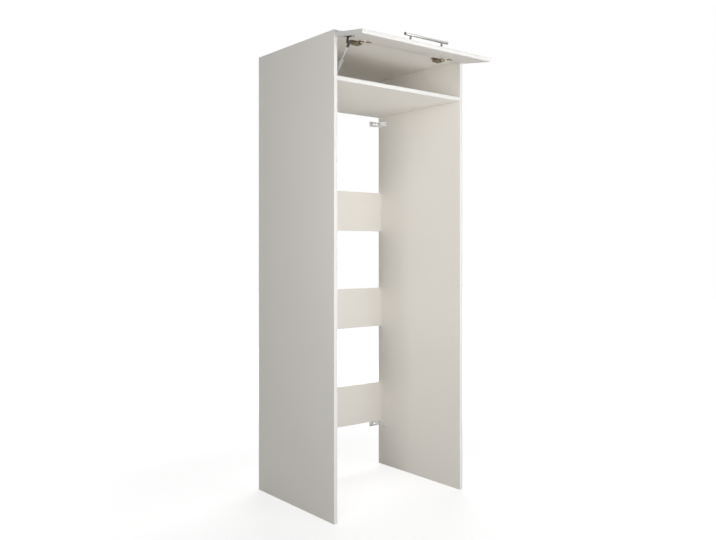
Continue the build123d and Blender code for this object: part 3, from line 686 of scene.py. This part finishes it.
# A turned form laid along X, or with its top to the front
ALONG_X = Matrix.Rotation(math.radians(90), 4, "Y")
TOP_TO_FRONT = Matrix.Rotation(math.radians(90), 4, "X")


def closed_box(node):
    """The lowest and highest corner of a flap node in the flap's closed place."""
    local = [OPENED.inverted() @ vert.co for vert in NODES[node].data.vertices]
    low = Vector([min(point[axis] for point in local) for axis in range(3)])
    high = Vector([max(point[axis] for point in local) for axis in range(3)])
    return low, high


def solids(node):
    """The points of each separate solid of a node."""
    bm = bmesh_of(NODES[node].data)
    bmesh.ops.remove_doubles(bm, verts=bm.verts[:], dist=MERGE)
    left = set(bm.verts)
    found = []
    for start in bm.verts:
        if start not in left:
            continue
        left.discard(start)
        reached = [start]
        for vert in reached:
            for edge in vert.link_edges:
                other = edge.other_vert(vert)
                if other in left:
                    left.discard(other)
                    reached.append(other)
        found.append([vert.co.copy() for vert in reached])
    bm.free()
    return found


def middle_of(points):
    """The middle of the points' box."""
    return Vector([(min(p[i] for p in points) + max(p[i] for p in points)) / 2 for i in range(3)])


def facing_frame(origin, facing):
    """A frame at a point with Z along a direction."""
    z_axis = facing.normalized()
    helper = Vector((1, 0, 0)) if abs(z_axis.x) < 0.5 else Vector((0, 0, 1))
    x_axis = (helper - z_axis * helper.dot(z_axis)).normalized()
    y_axis = z_axis.cross(x_axis)
    turn = Matrix((x_axis, y_axis, z_axis)).transposed().to_4x4()
    return Matrix.Translation(origin) @ turn


def seats(node, facing):
    """A frame at the outer end of each solid of a node, with Z along the way it faces."""
    for points in solids(node):
        direction = facing(middle_of(points)).normalized()
        level = facing_frame(Vector(), direction).inverted()
        local = [level @ point for point in points]
        centre = middle_of(local)
        centre.z = max(point.z for point in local)
        yield facing_frame(level.inverted() @ centre, direction)


def at_seats(mesh, node, facing):
    """A copy of a mesh at the seat of each solid of a node."""
    return joined([placed(mesh, seat) for seat in seats(node, facing)])


def reach_along_strut(node):
    """How far from the anchor a node starts and ends along the strut, in millimetres."""
    spans = [(vert.co - ANCHOR).dot(STRUT_AXIS) / MM for vert in NODES[node].data.vertices]
    return min(spans), max(spans)


# Ways that small pieces face, from the middle of each


def inwards(middle):
    """From a side towards the cabinet's middle."""
    return Vector((-math.copysign(1, middle.x), 0, 0))


def outwards(middle):
    """Away from the cabinet's middle, to the nearer side."""
    return -inwards(middle)


def downwards(middle):
    """Straight down."""
    return Vector((0, 0, -1))


def flap_inside(middle):
    """Out of the flap's inner face, with the flap open."""
    return OPENED.to_3x3() @ Vector((0, 1, 0))


def cam_facing(middle):
    """The open face of a cam: down in the top, up in the shelf, to the wall in the rails."""
    if middle.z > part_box("top_panel")[0].z - CAM_MARGIN:
        return Vector((0, 0, -1))
    if middle.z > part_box("shelf_panel")[0].z:
        return Vector((0, 0, 1))
    return Vector((0, 1, 0))


# Boards and edging

# Each raw side is an axis and its sign
REAR = (1, 1)
BOTTOM = (2, -1)


def board(node, raw=None, raw_sides=()):
    """A board with its long edges just broken and its raw sides in another finish."""
    bm = cad_form(node)
    soften(bm, BOARD_EDGE, 1, lambda edge: edge.calc_length() > BOARD_EDGE_MIN_LENGTH)
    low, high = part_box(node)
    for face in bm.faces:
        middle = face.calc_center_median()
        for axis, sign in raw_sides:
            outer = (high if sign > 0 else low)[axis]
            if face.normal[axis] * sign > 0.9 and abs(middle[axis] - outer) < BOARD_EDGE:
                face.material_index = 1
    names = (SLOTS[node], raw) if raw else ()
    finished(mesh_from(bm), node, *names, smooth=False)


def make_boards():
    """The sides, top, shelf, back, rails and flap."""
    for name in ("left_side_panel", "right_side_panel"):
        board(name, "raw_chipboard", (REAR, BOTTOM))
    for name in ("top_panel", "shelf_panel"):
        board(name, "raw_chipboard", (REAR,))
    board("back_panel", "raw_hardboard", (REAR,))
    for name in ("rail_lower", "rail_middle", "rail_upper", "flap_panel"):
        board(name)


def on_front_line(edge):
    """True for a long edge on the carcass's front plane."""
    flush = all(abs(vert.co.y - FRONT_Y) < MERGE for vert in edge.verts)
    return flush and edge.calc_length() > FRONT_EDGE_MIN_LENGTH


def on_outer_rim(edge, low, high):
    """True for a long edge on a side, the top or the bottom of the closed flap's box."""
    ends = [OPENED.inverted() @ vert.co for vert in edge.verts]
    on_rim = any(
        all(abs(end[axis] - limit[axis]) < RIM_PLAY for end in ends)
        for axis in (0, 2)
        for limit in (low, high)
    )
    return on_rim and edge.calc_length() > RIM_EDGE_MIN_LENGTH


def make_edging():
    """Edging strips with rounded outer corners."""
    for node in ("left_side_edge_band", "right_side_edge_band", "top_edge_band", "shelf_edge_band"):
        bm = cad_form(node)
        soften(bm, BAND_ROUND, BAND_STEPS, on_front_line)
        finished(mesh_from(bm), node)
    low, high = closed_box("flap_edge_band")
    bm = cad_form("flap_edge_band")
    soften(bm, BAND_ROUND, BAND_STEPS, lambda edge: on_outer_rim(edge, low, high))
    finished(mesh_from(bm), "flap_edge_band")


# Screws, cams and caps

# Diameters, heights and lengths, and a driver recess's reach, width and depth
BOARD_SCREW = {"head": 7.0, "head_height": 1.8, "shank": 3.5, "length": 13.0, "recess": (2.1, 1.0, 1.3)}
HANDLE_SCREW = {"head": 8.0, "head_height": 2.0, "shank": 4.0, "length": 25.0, "recess": (2.4, 1.1, 1.5)}
ADJUSTING_SCREW = {"head": 7.6, "head_height": 1.6, "shank": 4.0, "recess": (2.5, 1.1, 1.2)}
# A screw's point, as shares of the shank's radius
SCREW_POINT = [(0, 0), (0.3, 1.0), (1.0, 2.5)]
DOME_STEPS = 6
RECESS_TAPER = 0.55
# A cam's drum with the ring-shaped groove in its open face
CAM_RECESS = (4.2, 1.9, 2.5)
CAM_RADIUS = 7.5
CAM_HEIGHT = 12.5
CAM_FACE = [(7.2, 0), (6.3, 0), (6.1, -0.3), (5.7, -0.3), (5.5, 0), (0, 0)]
CAM_PROFILE = [(0, -CAM_HEIGHT), (CAM_RADIUS, -CAM_HEIGHT), (CAM_RADIUS, -0.3)] + CAM_FACE
CAM_CAP_PROFILE = [(0, -1.2), (8.5, -1.2), (8.5, -0.2), (0, 0)]
CAM_CAP_RADII = [0, 0, 0.5, 0]


def cross_cutter(arm, width, depth):
    """A tapered cross that cuts a driver recess down from z = 0."""
    half = width / 2
    quarter = [(arm, -half), (arm, half), (half, half)]
    outline = []
    for step in range(4):
        turn = Matrix.Rotation(math.radians(90 * step), 2)
        outline += [tuple(turn @ Vector(point)) for point in quarter]
    mesh = slab(outline, [], 2 * depth, 0)
    for vert in mesh.vertices:
        share = RECESS_TAPER if vert.co.z < depth * MM else 1.0
        vert.co = (vert.co.x * share, vert.co.y * share, vert.co.z - depth * MM)
    return mesh


def screw(head, head_height, shank, length, recess):
    """A domed screw with a driver recess, the top of its head at the origin."""
    core = shank / 2
    brim = head / 2
    tip = -head_height - length
    profile = [(core * out, tip + core * up) for out, up in SCREW_POINT]
    profile += [(core, -head_height), (brim, -head_height)]
    for step in range(DOME_STEPS):
        angle = math.radians(90 * step / DOME_STEPS)
        profile.append((brim * math.cos(angle), -head_height / 2 * (1 - math.sin(angle))))
    profile.append((0, 0))
    return combined(turned(profile), cross_cutter(*recess), "DIFFERENCE")


def turned_seat(seat, index):
    """A seat turned a little further for each screw."""
    return seat @ Matrix.Rotation(math.radians(SCREW_TURN * index), 4, "Z")


def set_screws(node, mesh, facing):
    """A copy of one screw at each solid of a node."""
    places = [turned_seat(seat, index) for index, seat in enumerate(seats(node, facing))]
    finished(joined([placed(mesh, place) for place in places]), node)


def make_adjusting_screws():
    """The hinges' adjusting screws, each as long as its solid."""
    node = "hinge_adjusting_screws"
    copies = []
    for index, (seat, points) in enumerate(zip(seats(node, downwards), solids(node))):
        heights = [point.z / MM for point in points]
        length = max(heights) - min(heights) - ADJUSTING_SCREW["head_height"]
        copies.append(placed(screw(length=length, **ADJUSTING_SCREW), turned_seat(seat, index)))
    finished(joined(copies), node)


def make_screws():
    """Short screws in the boards, long ones in the handle's posts, and the adjusting ones."""
    board_screw = screw(**BOARD_SCREW)
    for node, facing in (
        ("bracket_screws", inwards),
        ("hinge_plate_screws", downwards),
        ("hinge_cup_screws", flap_inside),
        ("strut_side_screws", inwards),
        ("strut_flap_screws", flap_inside),
    ):
        set_screws(node, board_screw, facing)
    set_screws("handle_screws", screw(**HANDLE_SCREW), flap_inside)
    make_adjusting_screws()


def make_cams():
    """The cams in the boards, and the caps on the front ones."""
    cam = combined(turned(CAM_PROFILE), cross_cutter(*CAM_RECESS), "DIFFERENCE")
    finished(at_seats(cam, "cam_fittings", cam_facing), "cam_fittings")
    cap = turned(CAM_CAP_PROFILE, CAM_CAP_RADII)
    finished(at_seats(cap, "cam_caps", cam_facing), "cam_caps")


# Hinges

CUP_STEPS = 96
CUP_RADIUS = 17.5
CUP_DEPTH = 13.0
FLANGE_RADIUS = 19.0
FLANGE_STEPS = 72
EAR_RADIUS = 7.0
EAR_STEPS = 48
EAR_REACH = 24.0
EAR_DROP = 6.0
# From the middle of the floor up the inside and over the rolled mouth
CUP_FLOOR = [(0, 12.3), (16.0, 12.3), (16.5, 12.1), (16.8, 11.5)]
CUP_MOUTH = [(16.8, -0.4), (17.0, -1.1), (17.4, -1.4), (18.0, -1.4), (18.3, -1.2)]
# Round the flange's rim: the distance inside its outline, and the height
CUP_RIM = [(0.6, -1.2), (0.2, -1.05), (0.0, -0.7), (0.0, 0.0)]
CUP_OUTSIDE = [(CUP_RADIUS, 0.0), (CUP_RADIUS, CUP_DEPTH), (0, CUP_DEPTH)]


def cup_outline():
    """The flange of a cup: a round with two ears, in the cup's own frame."""
    points = circle(0, 0, FLANGE_RADIUS, FLANGE_STEPS)
    for side in (-1, 1):
        points += circle(side * EAR_REACH, -EAR_DROP, EAR_RADIUS, EAR_STEPS)
    return [Vector(points[index]) for index in convex_hull_2d(points)]


def distance_to(outline, angle):
    """How far an outline lies from its middle in one direction."""
    way = Vector((math.cos(angle), math.sin(angle)))
    across = Vector((-way.y, way.x))
    for index, start in enumerate(outline):
        end = outline[(index + 1) % len(outline)]
        first, second = start.dot(across), end.dot(across)
        if (first <= 0 < second or second <= 0 < first) and start.dot(way) + end.dot(way) > 0:
            share = first / (first - second)
            return start.lerp(end, share).dot(way)
    raise ValueError("the outline has a gap")


def cup_form():
    """A pressed cup whose flange has a rolled mouth and a rounded rim."""
    angles = turn_angles(CUP_STEPS, 0.5)
    outline = cup_outline()
    rim = [distance_to(outline, angle) for angle in angles]
    bm = bmesh.new()
    rings = profile_rings(bm, CUP_FLOOR + CUP_MOUTH, angles)
    for inset, height in CUP_RIM:
        rings.append(ring(bm, [radius - inset for radius in rim], height, angles))
    rings += profile_rings(bm, CUP_OUTSIDE, angles)
    skin(bm, rings, CUP_STEPS)
    return mesh_from(bm)


def make_hinges():
    """Cups with their flanges, and the pressed arms and plates with broken edges."""
    cup = cup_form()
    inner_face = closed_box("flap_panel")[1].y
    for side in ("left", "right"):
        node = f"hinge_cup_{side}"
        low, high = closed_box(node)
        centre = Vector(((low.x + high.x) / 2, inner_face, high.z - FLANGE_RADIUS * MM))
        finished(placed(cup, OPENED @ Matrix.Translation(centre) @ TOP_TO_FRONT), node)
        for part in ("arm", "plate"):
            bm = cad_form(f"hinge_{part}_{side}")
            soften(bm, PRESSED_EDGE, PRESSED_STEPS)
            # The arms and plates take the nickel with painted shade, not their slot's own finish.
            finished(mesh_from(bm), f"hinge_{part}_{side}", "nickel_with_painted_shade")


# Handle

BAR_EDGE = 0.15
END_CAP_LENGTH = 3.0
END_CAP_RADII = [0, 0.2, 1.4, 0]
END_CAP_CORNER_STEPS = 6
STANDOFF = 25.0
POST_RADIUS = 4.0
POST_PROFILE = [(0, 0), (5, 0), (5, 2.6), (POST_RADIUS, 3.4), (POST_RADIUS, 18)]
POST_RADII = [0, 0.3, 0.5, 0.5, 0]
# Rings across the post's top, which are then laid on the bar
POST_TOP = 20.0
POST_TOP_RADII = [POST_RADIUS, 2.7, 1.4, 0]


def make_handle():
    """The bar with its caps, on two turned posts."""
    low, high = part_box("handle_bar")
    closed_low, closed_high = closed_box("handle_bar")
    radius = (closed_high.z - closed_low.z) / 2 / MM
    half = (high.x - low.x) / 2 / MM
    profile = [(0, -half), (radius, -half), (radius, half), (0, half)]
    bar = turned(profile, [0, BAR_EDGE, BAR_EDGE, 0], ROUND_STEPS)
    finished(placed(bar, facing_frame((low + high) / 2, Vector((1, 0, 0)))), "handle_bar")
    profile = [(0, -END_CAP_LENGTH), (radius, -END_CAP_LENGTH), (radius, 0), (0, 0)]
    cap = turned(profile, END_CAP_RADII, ROUND_STEPS, END_CAP_CORNER_STEPS)
    finished(at_seats(cap, "handle_end_caps", outwards), "handle_end_caps")
    post = post_form(radius)
    feet = [seat.translation for seat in seats("handle_posts", flap_inside)]
    places = [facing_frame(foot, -flap_inside(foot)) for foot in feet]
    finished(joined([placed(post, place) for place in places]), "handle_posts")


def post_form(bar_radius):
    """A post from its foot on the flap up to the bar, with a saddle for it."""
    profile = rounded(POST_PROFILE, POST_RADII) + [(radius, POST_TOP) for radius in POST_TOP_RADII]
    mesh = turned(profile)
    for vert in mesh.vertices:
        if vert.co.z > (POST_TOP - 0.1) * MM:
            vert.co.z = STANDOFF * MM - math.sqrt((bar_radius * MM) ** 2 - vert.co.y**2)
    return mesh


# Wall brackets

BRACKET_LEG = 60.0
BRACKET_WIDTH = 24.0
BRACKET_THICKNESS = 2.0
BRACKET_BEND = 1.5
BEND_STEPS = 6
BRACKET_CORNER = 3.0
BRACKET_CORNER_RADIUS = 0.8
BRACKET_CORNER_STEPS = 2
BRACKET_SLOT_LENGTH = 12.0
BRACKET_SLOT_WIDTH = 7.0
BRACKET_SLOT_END_RADIUS = 3.45
BRACKET_SLOT_INSET = 29.0
BRACKET_HOLE_INSET = 47.0


def bend_length(radius, thickness):
    """The length of a right-angle bend along the middle of the sheet."""
    return (radius + thickness / 2) * math.pi / 2


def bent(mesh, start, radius, thickness):
    """A flat strip bent up by a right angle beyond a line across it, in metres."""
    neutral = radius + thickness / 2
    arc = bend_length(radius, thickness)
    bm = bmesh_of(mesh)
    for step in range(BEND_STEPS + 1):
        place = (start + arc * step / BEND_STEPS, 0, 0)
        geometry = bm.verts[:] + bm.edges[:] + bm.faces[:]
        bmesh.ops.bisect_plane(bm, geom=geometry, plane_co=place, plane_no=(1, 0, 0), dist=MERGE)
    for vert in bm.verts:
        along = vert.co.x - start
        if along <= 0:
            continue
        angle = min(along, arc) / neutral
        beyond = max(along - arc, 0)
        depth = thickness + radius - vert.co.z
        vert.co.x = start + depth * math.sin(angle) + beyond * math.cos(angle)
        vert.co.z = thickness + radius - depth * math.cos(angle) + beyond * math.sin(angle)
    return mesh_from(bm)


def bracket_form():
    """A slotted angle: its side leg along X, its wall leg up along Z at the far end."""
    straight = BRACKET_LEG - BRACKET_THICKNESS - BRACKET_BEND
    total = 2 * straight + bend_length(BRACKET_BEND, BRACKET_THICKNESS)
    corner = BRACKET_CORNER
    half = BRACKET_WIDTH / 2
    outline = [
        (corner, -half), (total - corner, -half), (total, -half + corner),
        (total, half - corner), (total - corner, half), (corner, half),
        (0, half - corner), (0, -half + corner),
    ]
    middle = total - (BRACKET_LEG - BRACKET_SLOT_INSET)
    reach = BRACKET_SLOT_LENGTH / 2
    slot_half = BRACKET_SLOT_WIDTH / 2
    slot = rectangle((middle - reach, middle + reach), (-slot_half, slot_half))
    slot = round_cornered(slot, BRACKET_SLOT_END_RADIUS, ROUND_END_STEPS)
    hole = circle(BRACKET_LEG - BRACKET_HOLE_INSET, 0, SCREW_HOLE_RADIUS, HOLE_STEPS)
    outline = round_cornered(outline, BRACKET_CORNER_RADIUS, BRACKET_CORNER_STEPS)
    strip = slab(outline, [slot, hole], BRACKET_THICKNESS, PLATE_RIM)
    return bent(strip, straight * MM, BRACKET_BEND * MM, BRACKET_THICKNESS * MM)


def make_brackets():
    """The four wall brackets, mirrored left and right."""
    form = bracket_form()
    for level in ("upper", "lower"):
        for side, sign in (("left", -1), ("right", 1)):
            node = f"wall_bracket_{level}_{side}"
            low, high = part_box(node)
            corner = Vector((sign * INNER_HALF, low.y, (low.z + high.z) / 2))
            mirror = Matrix.Scale(-sign, 4, Vector((1, 0, 0)))
            finished(placed(form, Matrix.Translation(corner) @ mirror @ FACING_X), node)


# Gas strut

TUBE_RADIUS = 7.5
TUBE_BORE = 6.3
TUBE_FLOOR = 3.0
TUBE_EDGE = 0.9
TUBE_SHOULDER = 1.2
GUIDE_BORE = 3.1
GUIDE_LENGTH = 4.0
# The guide's bevelled mouth: how much wider than its bore, and how deep
GUIDE_MOUTH = (0.3, 0.4)
# The crimped groove round the tube's guide: the radius, and the way back from the end
TUBE_GROOVE = [(TUBE_RADIUS, 6.4), (7.15, 6.0), (7.15, 5.2), (TUBE_RADIUS, 4.8)]
PISTON_RADIUS = 6.2
PISTON_LENGTH = 4.0
ROD_RADIUS = 3.0
ROD_FORM_RADII = [0, 0.3, 0.3, 0, 0.2, 0]
SOCKET_HALF_WIDTH = 6.5
EYE_EDGE = 1.0
# The clip's groove round an eye: the depth, and the place as a share of the half width
CLIP_GROOVE = [(0, -0.35), (0.5, -0.28), (0.5, 0.0), (0, 0.07)]
LOWER_EYE_RADIUS = 6.5
LOWER_BORE = [(0, -9), (3.05, -9), (3.05, 4.5), (0, 4.5)]
# A neck starts inside its eye, this far from the eye's middle
NECK_START = 1
NECK_RADIUS = 5.5
LOWER_NECK = [(0, NECK_START), (NECK_RADIUS, NECK_START), (NECK_RADIUS, 7.2), (5.0, 7.7)]
LOWER_NECK += [(5.0, 8.3), (NECK_RADIUS, 8.8), (NECK_RADIUS, 11), (0, 11)]
UPPER_EYE_RADIUS = 6.0
SOCKET_LENGTH = 20.0
SOCKET_GRIP = 9.0
# From the end of the rod down its side, round the socket's lower end and up to the neck
UPPER_NECK = [(0, SOCKET_GRIP), (ROD_RADIUS, SOCKET_GRIP), (ROD_RADIUS, 0), (5.2, 0)]
UPPER_NECK += [(5.2, 4.6), (4.8, 5.0), (4.8, 5.8), (NECK_RADIUS, 6.5)]
UPPER_NECK_RADII = [0, 0, 0, 0.6, 0, 0, 0, 0, 0, 0]
# A stud and a tab start inside the plate that holds them
STUD_START = 0.5
TAB_START = 0.2
STUD_RADIUS = 3.0
SIDE_STUD_RADII = [0, 0, 0.4, 0, 0.5, 0]
FLAP_STUD_RADII = [0, 0, 0.8, 0]
COLLAR_RADIUS = 4.5
# From the middle of an eye, across the strut, to the end of a stud's collar
COLLAR_GAP = 6.8
SIDE_PLATE_HALF_WIDTH = 8.0
SIDE_PLATE_CORNER = 4.8
SIDE_PLATE_THICKNESS = 2.0
SIDE_PLATE_HOLES = (22.0, 35.0)
BASE_WIDTH = 18.0
BASE_CORNER = 4.5
BASE_THICKNESS = 1.5
BASE_HOLE_REACH = 16.5
TAB_HALF_WIDTH = 6.0
TAB_CORNER = 5.9
TAB_THICKNESS = 2.0


def make_strut():
    """Tube, rod, end sockets and the two brackets with their studs."""
    place = facing_frame(ANCHOR, STRUT_AXIS)
    finished(placed(tube_form(*reach_along_strut("strut_cylinder")), place), "strut_cylinder")
    finished(placed(rod_form(*reach_along_strut("strut_rod")), place), "strut_rod")
    finished(placed(lower_socket_form(), place), "strut_lower_socket")
    middle = reach_along_strut("strut_upper_socket")[1] - UPPER_EYE_RADIUS
    finished(placed(upper_socket_form(middle), place), "strut_upper_socket")
    make_side_bracket()
    make_flap_bracket()


def tube_form(start, end):
    """The strut's tube, closed below, with its groove and the rod's guide at the top."""
    wider, deep = GUIDE_MOUTH
    profile = [(0, start), (TUBE_RADIUS, start)]
    profile += [(radius, end - back) for radius, back in TUBE_GROOVE]
    profile += [(TUBE_RADIUS, end), (GUIDE_BORE + wider, end), (GUIDE_BORE, end - deep)]
    profile += [(GUIDE_BORE, end - GUIDE_LENGTH), (TUBE_BORE, end - GUIDE_LENGTH)]
    profile += [(TUBE_BORE, start + TUBE_FLOOR), (0, start + TUBE_FLOOR)]
    radii = [0, TUBE_EDGE, 0, 0, 0, 0, TUBE_SHOULDER, 0, 0, 0, 0, 0, 0]
    return turned(profile, radii, ROUND_STEPS)


def rod_form(low, high):
    """The strut's rod with its piston."""
    piston_top = low + PISTON_LENGTH
    profile = [(0, low), (PISTON_RADIUS, low), (PISTON_RADIUS, piston_top)]
    profile += [(ROD_RADIUS, piston_top), (ROD_RADIUS, high), (0, high)]
    return turned(profile, ROD_FORM_RADII, ROUND_STEPS)


def eye_form(radius):
    """A short round eye along X with rounded rims and a clip's groove."""
    half = SOCKET_HALF_WIDTH
    profile = [(0, -half), (radius, -half)]
    profile += [(radius - depth, half * share) for depth, share in CLIP_GROOVE]
    profile += [(radius, half), (0, half)]
    return placed(turned(profile, [0, EYE_EDGE, 0, 0, 0, 0, EYE_EDGE, 0]), ALONG_X)


def lower_socket_form():
    """The socket on the side's stud, bored for it."""
    body = combined(eye_form(LOWER_EYE_RADIUS), turned(LOWER_NECK), "UNION")
    return combined(body, placed(turned(LOWER_BORE), ALONG_X), "DIFFERENCE")


def upper_socket_form(middle):
    """The socket on the rod, whose eye lies beside the flap's stud."""
    low = middle - SOCKET_LENGTH
    neck = [(radius, low + height) for radius, height in UPPER_NECK]
    neck += [(NECK_RADIUS, middle - NECK_START), (0, middle - NECK_START)]
    eye = placed(eye_form(UPPER_EYE_RADIUS), Matrix.Translation((0, 0, middle * MM)))
    return combined(eye, turned(neck, UPPER_NECK_RADII), "UNION")


def make_side_bracket():
    """The plate on the left side with the stud that carries the strut."""
    low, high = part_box("strut_side_bracket")
    along = ((low.y - ANCHOR.y) / MM, (high.y - ANCHOR.y) / MM)
    outline = rectangle(along, (-SIDE_PLATE_HALF_WIDTH, SIDE_PLATE_HALF_WIDTH))
    holes = [circle(place, 0, SCREW_HOLE_RADIUS, HOLE_STEPS) for place in SIDE_PLATE_HOLES]
    plate = slab(round_cornered(outline, SIDE_PLATE_CORNER), holes, SIDE_PLATE_THICKNESS, PLATE_RIM)
    collar = (ANCHOR.x - low.x) / MM - COLLAR_GAP
    end = (high.x - low.x) / MM
    stud = [(0, STUD_START), (COLLAR_RADIUS, STUD_START)]
    stud += [(COLLAR_RADIUS, collar), (STUD_RADIUS, collar), (STUD_RADIUS, end), (0, end)]
    bracket = combined(plate, turned(stud, SIDE_STUD_RADII), "UNION")
    place = Matrix.Translation((low.x, ANCHOR.y, ANCHOR.z)) @ FACING_X
    finished(placed(bracket, place), "strut_side_bracket", "black_steel")


def make_flap_bracket():
    """The angle on the flap with the stud beside the strut's upper eye."""
    low, high = closed_box("strut_flap_bracket")
    half = (high.z - low.z) / 2 / MM
    depth = (high.y - low.y) / MM
    holes = []
    for side in (-1, 1):
        holes.append(circle(side * BASE_HOLE_REACH, BASE_WIDTH / 2, SCREW_HOLE_RADIUS, HOLE_STEPS))
    outline = round_cornered(rectangle((-half, half), (0, BASE_WIDTH)), BASE_CORNER)
    base = slab(outline, holes, BASE_THICKNESS, PLATE_RIM)
    outline = rectangle((TAB_START, depth), (-TAB_HALF_WIDTH, TAB_HALF_WIDTH))
    radii = [0, TAB_CORNER, TAB_CORNER, 0]
    outline = rounded(outline, radii, closed=True, steps=ROUND_END_STEPS)
    tab = slab(outline, [], TAB_THICKNESS, PLATE_RIM)
    end = (ANCHOR.x - low.x) / MM - COLLAR_GAP
    stud = [(0, STUD_START), (COLLAR_RADIUS, STUD_START), (COLLAR_RADIUS, end), (0, end)]
    stud_place = Matrix.Translation((0, (depth - TAB_HALF_WIDTH) * MM, 0)) @ ALONG_X
    angle = combined(placed(base, FACING_Y), placed(tab, FACING_X), "UNION")
    angle = combined(angle, placed(turned(stud, FLAP_STUD_RADII), stud_place), "UNION")
    place = OPENED @ Matrix.Translation((low.x, low.y, (low.z + high.z) / 2))
    finished(placed(angle, place), "strut_flap_bracket", "black_steel")


def dress_rest():
    """Gives each CAD node that stays the material of its slot."""
    for node in ("connecting_bolts", "wood_dowels", "hinge_pins"):
        mesh = NODES[node].data
        mesh.materials.clear()
        mesh.materials.append(finishes[SLOTS[node]])


bpy.context.scene.view_settings.view_transform = "Standard"
make_camera()
make_world()
make_lamps()
make_floor()
finishes = make_finishes()
make_boards()
make_edging()
make_screws()
make_cams()
make_hinges()
make_handle()
make_brackets()
make_strut()
dress_rest()
